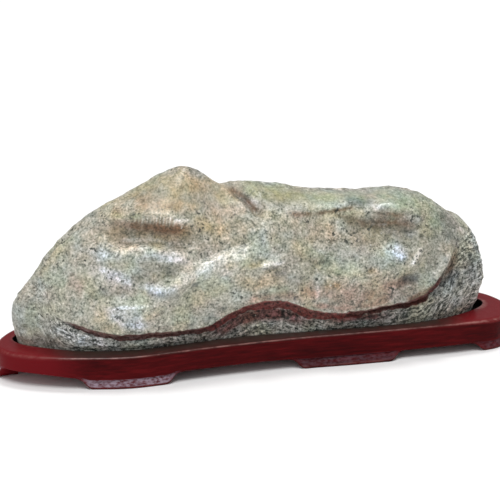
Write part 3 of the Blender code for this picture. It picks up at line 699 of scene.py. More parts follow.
def add_apron_and_feet(rings, outline, out, start):
    """The apron's face, and the feet: a band that flares out below a crisp shoulder, over an edge."""
    foot = foot_share(outline)
    apron = curve_through(APRON_BOTTOM)(outline[:, 0])
    flare = curve_through(FOOT_FLARE)(outline[:, 0])
    bottom = apron * (1 - foot)
    shoulder = apron + 1.5 + (FOOT_BAND_TOP - apron - 1.5) * foot
    edge_top = bottom + 0.7 + (FOOT_EDGE_TOP - 0.7) * foot
    lean = APRON_LEAN
    for share in (0.2, 0.4, 0.6, 0.8, 0.97):
        rings.add(outline, out, -lean * share, start + (shoulder - start) * share)
    rings.add(outline, out, -lean + 0.1 * foot, shoulder, band=0.5 * foot)
    rings.add(outline, out, -lean - FOOT_COVE * foot, shoulder - 0.35 * foot - 0.1, band=foot)
    for share in (0.2, 0.45, 0.7, 0.9):
        sweep = (flare + FOOT_COVE) * share**1.15 - FOOT_COVE
        rings.add(outline, out, sweep * foot - lean, shoulder + (edge_top - shoulder) * share, band=foot)
    # The foot's lower edge gets a little of the edges' wear and painted highlight.
    rings.add(outline, out, flare * foot - lean, edge_top, band=0.9 * foot, edge=0.3 * foot)
    rings.add(outline, out, (flare + 0.35) * foot - lean, edge_top - 0.5 * foot, edge=0.3 * foot)
    rings.add(outline, out, (flare + 0.35) * foot - 0.2 - lean, bottom + 0.35)
    rings.add(outline, out, (flare + 0.2) * foot - 0.6 - lean, bottom)
    rings.add(outline, out, 1.0 - FOOT_DEPTH - foot, bottom)
    rings.add(outline, out, -FOOT_DEPTH - 3.0, BOARD_BOTTOM)


def stand_rings():
    """The stand's points ring by ring, their masks, and how many rings there are."""
    outline = closed_outline(STAND_OUTLINE, STAND_POINTS)
    out = outward_of(outline)
    seat = seat_outline(outline)
    seat_out = outward_of(seat)
    ends = smooth_step((np.abs(outline[:, 0]) - ROUND_ENDS_FROM) / ROUND_ENDS_RUN)
    radius = EDGE_RADIUS_MIDDLE + (EDGE_RADIUS_ENDS - EDGE_RADIUS_MIDDLE) * ends
    rings = Rings()
    add_seat(rings, seat, seat_out)
    add_top(rings, seat + seat_out * SEAT_RIM_RADIUS, outline - out * radius[:, None], out)
    add_edge(rings, outline, out, radius)
    add_apron_and_feet(rings, outline, out, STAND_TOP - radius)
    return np.concatenate(rings.points), np.concatenate(rings.masks), len(rings.points)


# ---------------------------------------------------------------- shader graphs


def linear(red, green, painted_sheen):
    """A colour given as 8-bit screen values, as the linear light that a shader takes."""
    screen = np.array([red, green, painted_sheen]) / 255
    light = np.where(screen <= 0.04045, screen / 12.92, ((screen + 0.055) / 1.055) ** 2.4)
    return tuple(float(v) for v in light)


class Graph:
    """A material's shader nodes. Each method adds one node and returns the socket that it gives."""

    def __init__(self, name):
        self.material = bpy.data.materials.new(name)
        self.material.use_nodes = True
        self.nodes = self.material.node_tree.nodes
        self.links = self.material.node_tree.links
        self.shader = self.nodes["Principled BSDF"]
        self.place = self.nodes.new("ShaderNodeTexCoord").outputs["Object"]

    def put(self, value, socket):
        if isinstance(value, bpy.types.NodeSocket):
            self.links.new(value, socket)
        elif isinstance(value, tuple) and len(value) == 3 and socket.type == "RGBA":
            socket.default_value = (*value, 1)
        else:
            socket.default_value = value

    def finish(self, name, value):
        """Sets one of the shader's inputs."""
        self.put(value, self.shader.inputs[name])

    def mask(self, name, output="Fac"):
        """A value stored at the mesh's points, or with the output Vector a place stored there."""
        node = self.nodes.new("ShaderNodeAttribute")
        node.attribute_name = name
        return node.outputs[output]

    def number(self, operation, first, second=0.0, third=0.0):
        node = self.nodes.new("ShaderNodeMath")
        node.operation = operation
        self.put(first, node.inputs[0])
        self.put(second, node.inputs[1])
        self.put(third, node.inputs[2])
        return node.outputs[0]

    def times(self, first, second):
        return self.number("MULTIPLY", first, second)

    def line(self, value, slope, start):
        """The value times a slope, plus a start."""
        return self.number("MULTIPLY_ADD", value, slope, start)

    def stretched(self, place, scale):
        node = self.nodes.new("ShaderNodeMapping")
        self.put(place, node.inputs["Vector"])
        node.inputs["Scale"].default_value = scale
        return node.outputs["Vector"]

    def shifted(self, place, size, amount):
        """A place moved about by noise of that size, by about that amount, in millimetres."""
        wobble = self.nodes.new("ShaderNodeTexNoise")
        self.put(place, wobble.inputs["Vector"])
        wobble.inputs["Scale"].default_value = 1 / (size * MM)
        node = self.nodes.new("ShaderNodeVectorMath")
        node.operation = "MULTIPLY_ADD"
        self.put(wobble.outputs["Color"], node.inputs[0])
        node.inputs[1].default_value = (2 * amount * MM,) * 3
        self.put(place, node.inputs[2])
        return node.outputs["Vector"]

    def cloud(self, place, size, detail=2.0, roughness=0.5, seed=0.0):
        """Noise with lumps of that size in millimetres, from 0 to 1 about 0.5."""
        node = self.nodes.new("ShaderNodeTexNoise")
        node.noise_dimensions = "4D"
        node.inputs["W"].default_value = seed
        self.put(place, node.inputs["Vector"])
        node.inputs["Scale"].default_value = 1 / (size * MM)
        node.inputs["Detail"].default_value = detail
        node.inputs["Roughness"].default_value = roughness
        return node.outputs["Fac"]

    def between(self, value, low, high, to_low=0.0, to_high=1.0):
        """Where the value runs from low to high, a smooth run from to_low to to_high."""
        node = self.nodes.new("ShaderNodeMapRange")
        node.interpolation_type = "SMOOTHSTEP"
        self.put(value, node.inputs["Value"])
        node.inputs["From Min"].default_value = low
        node.inputs["From Max"].default_value = high
        node.inputs["To Min"].default_value = to_low
        node.inputs["To Max"].default_value = to_high
        return node.outputs["Result"]

    def ramp(self, value, stops):
        """A colour for each value, through stops of a value and a colour in 8-bit screen values."""
        node = self.nodes.new("ShaderNodeValToRGB")
        self.put(value, node.inputs["Fac"])
        elements = node.color_ramp.elements
        while len(elements) < len(stops):
            elements.new(0.5)
        for element, (position, colour) in zip(elements, stops):
            element.position = position
            element.color = (*linear(*colour), 1)
        return node.outputs["Color"]

    def mix(self, share, first, second, blend="MIX"):
        node = self.nodes.new("ShaderNodeMix")
        node.data_type = "RGBA"
        node.blend_type = blend
        self.put(share, node.inputs["Factor"])
        self.put(first, node.inputs[6])
        self.put(second, node.inputs[7])
        return node.outputs[2]

    def paint(self, share, colour, over):
        """The colour with another, in 8-bit screen values, laid over that share of it."""
        return self.mix(share, colour, linear(*over))

    def bump(self, height, strength, depth):
        """Small relief in the shading, of that depth in millimetres."""
        node = self.nodes.new("ShaderNodeBump")
        node.inputs["Strength"].default_value = strength
        node.inputs["Distance"].default_value = depth * MM
        self.put(height, node.inputs["Height"])
        return node.outputs["Normal"]


# ---------------------------------------------------------------- the stone's finish

# The ground from its dark grains to its pale ones, and the mean that patches and tints are measured from.
GROUND_MEAN = (171, 170, 156)
GROUND = [
    (0.22, (80, 86, 78)), (0.38, (138, 139, 126)), (0.50, (171, 170, 156)), (0.62, (197, 194, 181)),
    (0.80, (234, 231, 220)),
]
SKIRT_GROUND = [
    (0.28, (36, 38, 36)), (0.40, (92, 94, 88)), (0.50, (152, 152, 144)), (0.60, (196, 195, 187)),
    (0.72, (238, 236, 230)),
]
# Small patches of other minerals all through the ground: colour, size in millimetres and strength.
PATCHES = [
    ((183, 172, 150), 18, 0.5),
    ((158, 170, 164), 20, 0.5),
    ((168, 170, 136), 24, 0.45),
    ((178, 166, 154), 22, 0.4),
]
SPECK = (44, 50, 44)
THREAD = (78, 70, 60)
FLECK = (236, 232, 220)
# Painted shade and painted highlight, with a little dirt and rubbing: how much of its colour the ground
# keeps in the deepest hollow and on the highest crest.
RUBBED_AND_PAINTED_LIGHT = (0.72, 1.2)
RUST = (122, 48, 44)
SEAM_DARK = (58, 24, 20)

# The stone's broad colours, among them painted shade, painted highlight and painted sheen: the mean each
# gives the ground, and where it lies, as lines of (x, z) places with their width above and below and how
# strong it is there.
TINTS = {
    "tan": ((186, 166, 134), [
        ([(-142, 122), (-100, 124), (-48, 122)], 15, 16, 0.7),
        ([(-128, 142), (-96, 148), (-60, 158), (-30, 146)], 26, 16, 0.65),
        ([(-84, 152), (-66, 147), (-50, 142)], 10, 10, 0.8),
        ([(-142, 128), (-122, 141), (-98, 149)], 10, 8, 0.5),
        ([(-108, 145), (-88, 146.5), (-70, 146), (-44, 148)], 7, 6, 0.5),
        ([(-64, 130), (-46, 128), (-34, 116)], 16, 12, 0.8),
        ([(-34, 142), (-16, 128), (-6, 120)], 14, 12, 0.3),
        ([(-46, 150), (-28, 148), (-8, 148)], 10, 10, 0.7),
        ([(4, 114), (18, 109), (30, 104)], 10, 10, 0.3),
        ([(46, 127), (64, 126), (92, 127)], 6, 5, 0.3),
        ([(30, 116), (52, 112), (74, 108), (96, 102)], 10, 12, 0.3),
        ([(-34, 84), (-6, 78), (14, 84)], 12, 12, 0.4),
        ([(86, 84), (98, 82)], 6, 6, 0.2),
    ]),
    "moss": ((158, 156, 114), [
        ([(-22, 152), (10, 146), (34, 141), (52, 137)], 22, 9, 0.75),
        ([(-22, 96), (-10, 94), (4, 97)], 9, 6, 0.25),
    ]),
    "green": ((152, 162, 138), [
        ([(34, 143), (66, 139), (96, 138)], 20, 6, 0.9),
        ([(96, 139), (124, 134), (148, 122), (162, 108)], 20, 9, 0.9),
        ([(-128, 139), (-112, 139.5), (-100, 139)], 4, 4, 0.7),
        ([(56, 85), (72, 82)], 7, 6, 0.7),
        ([(0, 72), (20, 68)], 8, 7, 0.7),
    ]),
    # Brown stone with painted shade in the hollows, creases and groove, and beside the lip's right end.
    "brown_and_painted_shade": ((118, 99, 80), [
        ([(-130, 133.5), (-112, 133), (-94, 131.5), (-79, 129.5), (-60, 126)], 4.6, 11, 1.25),
        ([(-108, 146), (-92, 147.5), (-80, 147), (-66, 144)], 8, 7, 0.45),
        ([(20, 132), (32, 130.5), (46, 129)], 3, 4, 0.8),
        ([(96, 123), (112, 125), (126, 121)], 4, 5, 0.9),
        ([(-26, 152), (-17, 145.5), (-12, 141), (-6, 136), (1, 131.5)], 4, 4.5, 1.0),
        ([(42, 129.5), (60, 129.5), (74, 130.5), (88, 132.5)], 2.5, 3.5, 0.9),
        ([(58, 127), (73, 123.5), (90, 119), (104, 118), (122, 117.5), (142, 113)], 4, 8, 0.9),
        ([(72, 116), (92, 113), (136, 109)], 8, 8, 0.3),
        ([(146, 56), (158, 68), (167, 82), (172, 94)], 6, 8, 1.0),
        ([(118, 51), (130, 54.5), (141, 58), (150, 64)], 6, 8, 1.3),
        ([(120, 46), (132, 47), (146, 52)], 5, 6, 1.2),
    ]),
    "pink": ((164, 143, 128), [
        ([(46, 62), (74, 60), (104, 62), (136, 66)], 18, 20, 1.0),
        ([(24, 72), (44, 68), (68, 66)], 11, 12, 0.9),
        ([(-150, 54), (-120, 49), (-70, 47), (-44, 52)], 4, 5, 0.12),
        ([(28, 58), (44, 54), (66, 51), (88, 51), (106, 54.5), (122, 58)], 4.5, 4, 1.2),
        ([(-26, 62), (-8, 66), (14, 67), (36, 60)], 6, 8, 0.75),
        ([(-168, 90), (-152, 84)], 12, 12, 0.5),
        ([(-62, 158), (-50, 162)], 10, 10, 0.15),
    ]),
    "ochre": ((176, 156, 106), [
        ([(48, 76), (56, 71), (64, 70)], 6, 6, 0.5),
        ([(-16, 92), (-4, 94)], 5, 4, 0.25),
        ([(84, 84), (95, 82)], 4, 4, 0.25),
    ]),
    # Painted sheen: a pale bluish grey on the shelf, the bowl, the lobe and the right swell.
    "painted_sheen": ((184, 190, 190), [
        ([(-150, 110), (-125, 112), (-96, 111), (-62, 104)], 9, 9, 0.7),
        ([(-111, 87), (-100, 82), (-88, 82), (-75, 82)], 7, 6, 0.9),
        ([(-150, 90), (-130, 92), (-112, 88)], 16, 16, 0.7),
        ([(-124, 59), (-110, 58)], 7, 7, 0.9),
        ([(100, 97), (114, 96), (124, 92)], 8, 9, 1.0),
        ([(-6, 98), (-2, 108), (-6, 122)], 9, 9, 0.25),
        ([(-142, 67), (-118, 66), (-96, 66)], 6, 8, 0.6),
        ([(-90, 116), (-76, 114.5), (-62, 112)], 4.5, 4, 0.5),
        ([(-124, 119), (-111, 118), (-98, 117)], 4.5, 4, 0.5),
        ([(-142, 62), (-124, 59), (-106, 56)], 10, 9, 0.9),
        ([(-62, 168), (-54, 166), (-46, 161)], 7, 7, 0.5),
    ]),
    # Pale stone with painted highlight on the ridges, on the lobe and under the lip.
    "pale_and_painted_highlight": ((206, 209, 205), [
        ([(-184, 50), (-168, 44), (-154, 40), (-134, 36)], 10, 9, 0.65),
        ([(-132, 53), (-114, 52.5), (-96, 52)], 4, 5, 0.5),
        ([(-142, 97), (-130, 96), (-120, 90), (-110, 85)], 8, 7, 0.6),
        ([(-16, 38), (-6, 36)], 5, 5, 0.4),
        ([(-54, 82), (-38, 88), (-20, 86)], 13, 11, 0.45),
        ([(-114, 101), (-104, 95), (-96, 92)], 6, 6, 0.4),
    ]),
    "cream": ((202, 194, 176), [
        ([(38, 118), (58, 115), (80, 112)], 7, 9, 0.5),
        ([(-38, 124), (-33, 112)], 6, 6, 0.5),
    ]),
    # Painted shade: a darker, duller ground over the right end, above the brow and beside the plateau.
    "painted_shade": ((155, 155, 142), [
        ([(70, 100), (120, 96), (176, 88)], 60, 60, 1.0),
        ([(-156, 124), (-136, 138), (-112, 148), (-80, 160)], 18, 12, 0.9),
        ([(-10, 143), (6, 140), (24, 136.5), (46, 133)], 8, 8, 1.0),
    ]),
    "umber": ((120, 84, 76), [
        ([(-58, 33), (-38, 37), (-22, 42), (-6, 46), (10, 46), (26, 42), (48, 36)], 9, 10, 1.2),
        ([(50, 37), (70, 37.5), (92, 38), (114, 36)], 4.5, 5, 1.0),
    ]),
    # Darker grey, partly dark mineral and partly painted shade in pits and creases, under the lip and over
    # the right end.
    "grey_and_painted_shade": ((108, 112, 108), [
        ([(-98, 98), (-82, 96), (-72, 93)], 6, 8, 0.2),
        ([(-168, 104), (-158, 112), (-148, 116)], 6, 6, 0.3),
        ([(40, 132), (52, 130), (64, 128)], 5, 5, 0.35),
        ([(-66, 85), (-58, 83)], 4, 4, 0.8),
        ([(-110, 80), (-97, 79), (-84, 77), (-70, 74)], 4.5, 5, 0.6),
        ([(-62, 38), (-48, 41), (-38, 45)], 5, 5, 1.0),
        ([(60, 34), (100, 36), (140, 40)], 8, 9, 0.7),
        ([(30, 98), (38, 94), (58, 93)], 7, 7, 0.35),
        ([(48, 101), (64, 97), (80, 97), (94, 99)], 7, 6, 0.45),
        ([(10, 81), (26, 80), (38, 76)], 7, 8, 0.35),
        ([(118, 110), (130, 108), (144, 106)], 5, 5, 0.5),
        ([(72, 135.5), (86, 134.5), (102, 134)], 4.5, 4.5, 0.65),
        ([(142, 82), (152, 86), (160, 90)], 9, 10, 0.4),
        ([(146, 50), (153, 57), (161, 65)], 6, 6, 0.85),
        ([(-200, 31), (-187, 34), (-170, 31)], 5, 6, 0.6),
        ([(-6, 90), (4, 91), (12, 91.5)], 2.2, 3, 0.7),
        ([(117, 70), (126, 72), (134, 71)], 7, 7, 1.0),
        ([(4, 86), (18, 85)], 3.5, 4, 0.7),
        ([(22, 62), (25, 62)], 3, 3, 1.0),
        ([(-62, 48), (-40, 56), (-30, 62)], 6, 5, 0.4),
        ([(160, 56), (176, 70), (188, 86)], 16, 22, 0.72),
        ([(150, 122), (166, 106), (176, 90)], 18, 18, 0.55),
        ([(120, 38), (160, 40), (190, 48)], 10, 10, 0.3),
        ([(-40, 36), (0, 42), (50, 34)], 12, 10, 0.2),
        ([(-60, 171), (-48, 168)], 4, 8, 0.6),
    ]),
}
# The painted highlight along the polished crests, as the mean it gives the ground, and where the crests lie;
# the same lines give them their gloss.
PAINTED_HIGHLIGHT_MEAN = (224, 224, 217)
SHINE_AND_PAINTED_HIGHLIGHT = [
    ([(-106, 138.8), (-88, 137.5), (-73, 135.5), (-62, 133)], 2.6, 2.2, 1.5),
    ([(-86, 107), (-76, 104.5), (-64, 101)], 4, 4, 0.55),
    ([(-80, 84), (-57, 95.5), (-44, 99.5), (-31, 102.5), (-8, 106)], 6.5, 5, 1.0),
    ([(-12, 122), (-8, 121)], 3, 3, 0.5),
    ([(-8, 142.5), (-3, 139.5), (1, 135.5)], 3, 3, 1.0),
    ([(48, 132.5), (64, 133), (80, 133.5)], 2.2, 2, 0.7),
    ([(92, 128.5), (104, 131.5), (113, 132), (122, 128.5)], 3, 2.6, 0.7),
    ([(98, 101.5), (109, 100), (116, 96), (122, 90)], 7, 6, 0.75),
    ([(124, 84), (131, 91), (138, 98)], 3, 3, 1.1),
    ([(-8, 93), (4, 95), (16, 96)], 2.6, 2.0, 1.1),
    ([(-138, 68.5), (-118, 70), (-92, 69.5)], 2.4, 2.0, 0.9),
    ([(43, 60), (44, 66), (43, 74)], 2.4, 2.4, 0.8),
    ([(140, 64), (150, 78), (158, 86), (165, 93)], 4, 4, 0.4),
    ([(17, 41.5), (28, 40.5), (40, 38.5)], 2.2, 2.2, 1.0),
    ([(-172, 55), (-160, 51), (-150, 48)], 2.0, 2.0, 0.7),
    ([(176, 106), (182, 100)], 2.6, 2.6, 0.7),
]


def stone_attributes(points, masks):
    """The masks that the stone's material reads, by name, from its weathered points."""
    x = points[:, 0]
    places = wandered(x, points[:, 2], TINT_WANDER, TINT_WANDER_LENGTH)
    shine_places = wandered(x, points[:, 2], SHINE_WANDER, SHINE_WANDER_LENGTH)
    found = {name: spot_share(places, spots) * masks["front"] for name, (_, spots) in TINTS.items()}
    found["gloss_and_painted_highlight"] = spot_share(shine_places, SHINE_AND_PAINTED_HIGHLIGHT) * masks["front"]
    found["calm"] = spot_share(places, CALM)
    found["seam"] = masks["seam"]
    found["rust"] = within(x, RUST_STRETCH)
    found["rise"] = masks["rise"]
    below_lip = masks["front"] * (1 - smooth_step((masks["above_lip"] + 1) / 3))
    along = SKIRT_AT_LEFT_END + (1 - SKIRT_AT_LEFT_END) * smooth_step((x - SKIRT_START_X) / SKIRT_RUN_X)
    found["skirt"] = below_lip * along + SKIRT_BEHIND * (1 - masks["front"])
    return found


def grey_of(graph, value):
    """A colour with that value in all three channels."""
    node = graph.nodes.new("ShaderNodeCombineColor")
    for socket in node.inputs[:3]:
        graph.put(value, socket)
    return node.outputs[0]


def face_ground(graph, grain, calm):
    """The grain of the polished face, quieter where the stone is calm."""
    mottle = graph.cloud(graph.place, 8, 2, 0.5, seed=1)
    fine = graph.cloud(graph.place, 1.7, 1, 0.5, seed=17)
    level = graph.line(mottle, 0.4, graph.line(fine, 0.7, -0.9))
    level = graph.line(grain, 0.7, level)
    quiet = graph.line(calm, -0.45, 1.0)
    level = graph.line(level, quiet, 0.5)
    return graph.ramp(level, GROUND)


def skirt_ground(graph, coarse):
    """The harsher ground of the rough skirt, streaked along the seam."""
    flow = graph.shifted(graph.mask("flow", "Vector"), 10, 2.0)
    streaks = graph.cloud(flow, 7, 4, 0.6, seed=2)
    level = graph.line(coarse, 1.3, graph.times(streaks, 0.9))
    level = graph.number("ADD", level, -0.6)
    return graph.ramp(level, SKIRT_GROUND)


def shaded(graph, colour, share, mean):
    """Shifts the ground's mean to another colour, and keeps its grain."""
    ratio = tuple(a / b for a, b in zip(linear(*mean), linear(*GROUND_MEAN)))
    return graph.mix(share, colour, ratio, "MULTIPLY")


def patched_and_tinted(graph, colour):
    """Lays the small patches of other minerals and the broad tints, among them painted shade, highlight and
    sheen, over the ground, with frayed borders, then the crests' painted highlight.
    """
    for i, (mean, size, strength) in enumerate(PATCHES):
        field = graph.cloud(graph.place, size, 2, 0.45, seed=10 + i)
        colour = shaded(graph, colour, graph.between(field, 0.46, 0.66, 0.0, strength), mean)
    frayed = graph.between(graph.cloud(graph.place, 10, 2, 0.45, seed=3), 0.34, 0.66, 0.65, 1.25)
    for name, (mean, _) in TINTS.items():
        colour = shaded(graph, colour, graph.times(graph.mask(name), frayed), mean)
    gloss_and_painted_highlight = graph.times(graph.mask("gloss_and_painted_highlight"), graph.between(frayed, 0.6, 1.25, 0.6, 1.0))
    return shaded(graph, colour, gloss_and_painted_highlight, PAINTED_HIGHLIGHT_MEAN), gloss_and_painted_highlight


def specked(graph, colour, calm):
    """Dark specks in clusters, thin dark threads and pale flecks. It also gives the specks' mask."""
    place = graph.shifted(graph.place, 4, 1.2)
    quiet = graph.line(calm, -0.7, 1.0)
    cluster = graph.between(graph.cloud(graph.place, 20, 3, 0.6, seed=4), 0.42, 0.6, 0.1, 1.0)
    cluster = graph.times(cluster, quiet)
    speck = graph.between(graph.cloud(place, 3.8, 2, 0.55, seed=5), 0.59, 0.65)
    speck = graph.times(speck, cluster)
    thread = graph.number("ABSOLUTE", graph.number("ADD", graph.cloud(place, 9, 3, 0.6, seed=6), -0.5))
    threaded = graph.between(graph.cloud(graph.place, 7, 2, 0.5, seed=7), 0.5, 0.6, 0.0, 0.55)
    thread = graph.times(graph.between(thread, 0.004, 0.022, 1, 0), threaded)
    fleck = graph.between(graph.cloud(place, 3.2, 1, 0.5, seed=8), 0.68, 0.76, 0.0, 0.5)
    colour = graph.paint(graph.times(fleck, quiet), colour, FLECK)
    colour = graph.paint(graph.times(thread, quiet), colour, THREAD)
    return graph.paint(graph.times(speck, 0.9), colour, SPECK), speck


def rusted(graph, colour, coarse):
    """Rust and old dirt in the seam."""
    seam = graph.between(graph.line(coarse, 0.7, graph.mask("seam")), 0.55, 1.05)
    in_arch = graph.between(graph.mask("rust"), 0, 1, 0.3, 1.0)
    rusty = graph.times(graph.between(coarse, 0.40, 0.56), in_arch)
    rust = graph.mix(rusty, linear(*SEAM_DARK), linear(*RUST))
    return graph.mix(graph.times(seam, 0.9), colour, rust)


def stone_material():
    graph = Graph("speckled_stone")
    skirt, calm = graph.mask("skirt"), graph.mask("calm")
    grain = graph.cloud(graph.shifted(graph.place, 6, 1.5), 2.7, 2, 0.6)
    coarse = graph.cloud(graph.place, 3.0, 4, 0.75, seed=9)
    colour = graph.mix(skirt, face_ground(graph, grain, calm), skirt_ground(graph, coarse))
    # Painted shade darkens the hollows and painted highlight lightens the crests, by how far the relief
    # rises, with a little dirt and rubbing.
    rubbed_and_painted_light = graph.between(graph.mask("rise"), -9.0, 7.0, *RUBBED_AND_PAINTED_LIGHT)
    colour = graph.mix(1.0, colour, grey_of(graph, rubbed_and_painted_light), "MULTIPLY")
    colour, gloss_and_painted_highlight = patched_and_tinted(graph, colour)
    colour, speck = specked(graph, colour, calm)
    graph.finish("Base Color", rusted(graph, colour, coarse))

    # The face is polished, its crests most of all. The skirt and the back are as found.
    dull = graph.line(skirt, 0.42, graph.between(grain, 0.35, 0.65, 0.27, 0.4))
    graph.finish("Roughness", graph.line(speck, 0.1, dull))
    graph.finish("Specular IOR Level", 0.4)
    graph.finish("Coat Weight", gloss_and_painted_highlight)
    graph.finish("Coat Roughness", 0.16)

    relief = graph.line(graph.times(coarse, skirt), 1.6, grain)
    relief = graph.line(speck, -0.25, relief)
    graph.finish("Normal", graph.bump(relief, 0.6, 0.5))
    return graph.material


# ---------------------------------------------------------------- the stand's finish

# The lacquer from its darkest streaks to its brightest.
LACQUER = [(0.42, (50, 8, 10)), (0.6, (74, 11, 14)), (0.8, (98, 17, 21))]
# Painted light as a brighter red at the left end and on the top at the right end, grime with painted shade
# and a painted reflection on the top beside the stone, and painted shade on the inside of the seat.
END_RED_AND_PAINTED_LIGHT = (112, 20, 27)
GRIME_SHADE_AND_REFLECTION = (58, 50, 44)
SEAT_PAINTED_SHADE = (14, 9, 9)
# Wear with a painted highlight on the edges.
WORN_EDGE_AND_PAINTED_HIGHLIGHT = (158, 110, 104)
# Dust with a painted reflection on the feet's sloping bands.
BAND_DUST_AND_REFLECTION = (164, 148, 162)
# The brighter red with its painted light sets in over these runs, outwards from these places at the left and
# right ends.
RED_LEFT_FROM, RED_LEFT_RUN = -146, 46
RED_RIGHT_FROM, RED_RIGHT_RUN = 140, 40
GRIME_SHADE_REFLECTION_STRETCH = (-196, 40, 186, 40)
# The share of the grime, painted shade and painted reflection at the top's edge, the feet whose bands get
# dust and a painted reflection, and their share on the others.
GRIME_SHADE_REFLECTION_FAR = 0.55
REFLECTION_AND_DUST_LEFT_OF, REFLECTION_AND_DUST_ELSEWHERE = -50, 0.15
# The wear and painted highlight of the edges at the left end, and where and over what run they grow.
EDGE_WEAR_AND_HIGHLIGHT_AT_LEFT_END = 0.3
EDGE_WEAR_AND_HIGHLIGHT_START, EDGE_WEAR_AND_HIGHLIGHT_RUN = -190, 30


def stand_attributes(points, masks):
    """The masks that the stand's material reads, by name, from its points and the masks of its rings."""
    found = dict(zip(STAND_MASKS, masks.T))
    x = points[:, 0]
    left = smooth_step((RED_LEFT_FROM - x) / RED_LEFT_RUN)
    right = smooth_step((x - RED_RIGHT_FROM) / RED_RIGHT_RUN)
    found["end_red_and_painted_light"] = np.maximum(left, found["top"] * right)
    near = GRIME_SHADE_REFLECTION_FAR + (1 - GRIME_SHADE_REFLECTION_FAR) * found.pop("near")
    found["grime_shade_and_reflection"] = found["top"] * within(x, GRIME_SHADE_REFLECTION_STRETCH) * near
    found["band"] = found["band"] * np.where(x < REFLECTION_AND_DUST_LEFT_OF, 1.0, REFLECTION_AND_DUST_ELSEWHERE)
    wear_and_highlight = EDGE_WEAR_AND_HIGHLIGHT_AT_LEFT_END + (1 - EDGE_WEAR_AND_HIGHLIGHT_AT_LEFT_END) * smooth_step((x - EDGE_WEAR_AND_HIGHLIGHT_START) / EDGE_WEAR_AND_HIGHLIGHT_RUN)
    found["edge"] = found["edge"] * wear_and_highlight
    return found


def stand_material():
    graph = Graph("dark_red_lacquer")
    along = graph.stretched(graph.place, (0.09, 1, 1))
    grain = graph.cloud(along, 2.2, 4, 0.6)
    cloudy = graph.cloud(graph.stretched(graph.place, (0.5, 1, 1)), 30, 3, 0.5, seed=1)
    tone = graph.line(grain, 0.7, graph.times(cloudy, 0.5))
    colour = graph.ramp(tone, LACQUER)
    colour = graph.paint(graph.times(graph.mask("end_red_and_painted_light"), 0.85), colour, END_RED_AND_PAINTED_LIGHT)

    # Grime with painted shade and a painted reflection of the stone lies on the top beside it, darker nearer
    # the stone and thin in places.
    rub = graph.cloud(graph.place, 5, 4, 0.7, seed=2)
    grime_shade_and_reflection = graph.times(graph.mask("grime_shade_and_reflection"), graph.between(rub, 0.3, 0.6, 0.65, 1.0))
    colour = graph.paint(grime_shade_and_reflection, colour, GRIME_SHADE_AND_REFLECTION)

    # The edges get wear with a painted highlight, and the feet's sloping bands get dust with a painted
    # reflection.
    wear_and_highlight_breakup = graph.cloud(graph.stretched(graph.place, (0.35, 1, 1)), 4, 4, 0.7, seed=3)
    edge = graph.times(graph.mask("edge"), graph.between(wear_and_highlight_breakup, 0.4, 0.64, 0.1, 0.8))
    colour = graph.paint(edge, colour, WORN_EDGE_AND_PAINTED_HIGHLIGHT)
    # Speckled dust and painted reflection on the feet's bands, strongest on the feet at the left.
    band_speckle = graph.cloud(graph.stretched(graph.place, (0.5, 1, 1)), 1.8, 3, 0.6, seed=4)
    dust_and_painted_reflection = graph.times(graph.mask("band"), graph.between(band_speckle, 0.3, 0.66))
    colour = graph.paint(graph.times(dust_and_painted_reflection, 0.9), colour, BAND_DUST_AND_REFLECTION)
    # Painted shade: the inside of the seat is near black.
    seat = graph.between(graph.mask("seat"), 0.2, 0.8)
    graph.finish("Base Color", graph.paint(seat, colour, SEAT_PAINTED_SHADE))

    graph.finish("Roughness", graph.between(rub, 0.3, 0.7, 0.3, 0.42))
    graph.finish("Specular IOR Level", 0.04)
    # The top and the feet's bands are rubbed to a gloss, and the upright faces are satin.
    polished = graph.times(graph.mask("top"), 0.28)
    polished = graph.number("MAXIMUM", polished, graph.times(graph.mask("band"), 0.5))
    polished = graph.number("MAXIMUM", polished, graph.times(graph.mask("edge"), 0.7))
    polished = graph.times(polished, graph.number("SUBTRACT", 1.0, seat))
    graph.finish("Coat Weight", polished)
    graph.finish("Coat Roughness", 0.2)
    graph.finish("Normal", graph.bump(graph.number("ADD", grain, rub), 0.35, 0.12))
    return graph.material


# ---------------------------------------------------------------- pieces

# Edges of the stand that turn more than this many degrees are shown sharp.
SHARP_ANGLE = 50

def placed(name, data):
    """A new object with that data, in the scene."""
    thing = bpy.data.objects.new(name, data)
    bpy.context.scene.collection.objects.link(thing)
    return thing


def add_piece(name, points, faces, material):
    """A smooth-shaded mesh from points in millimetres, with its faces turned outwards."""
    mesh = bpy.data.meshes.new(name)
    mesh.from_pydata([tuple(p * MM) for p in points], [], faces)
    shape = bmesh.new()
    shape.from_mesh(mesh)
    bmesh.ops.recalc_face_normals(shape, faces=shape.faces)
    shape.to_mesh(mesh)
    shape.free()
    mesh.shade_smooth()
    mesh.materials.append(material)
    return placed(name, mesh)


def store(piece, name, values):
    """Keeps one value for each of the piece's points, for its material to read."""
    piece.data.attributes.new(name, "FLOAT", "POINT").data.foreach_set("value", values.astype(np.float32))


def stand_in_for(piece, node):
    """The piece is shown in place of a CAD node, which is hidden, and hangs under the root."""
    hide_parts(node)
    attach(piece, "root")


def build_stone():
    points, faces = stone_mesh()
    masks = stone_masks(points)
    points = weather(points, masks)
    stone = add_piece("stone_surface", points, faces, stone_material())
    for name, values in stone_attributes(points, masks).items():
        store(stone, name, values)
    flow = flow_places(points, masks) * MM
    flow_values = stone.data.attributes.new("flow", "FLOAT_VECTOR", "POINT").data
    flow_values.foreach_set("vector", flow.astype(np.float32).ravel())
    stand_in_for(stone, "stone")


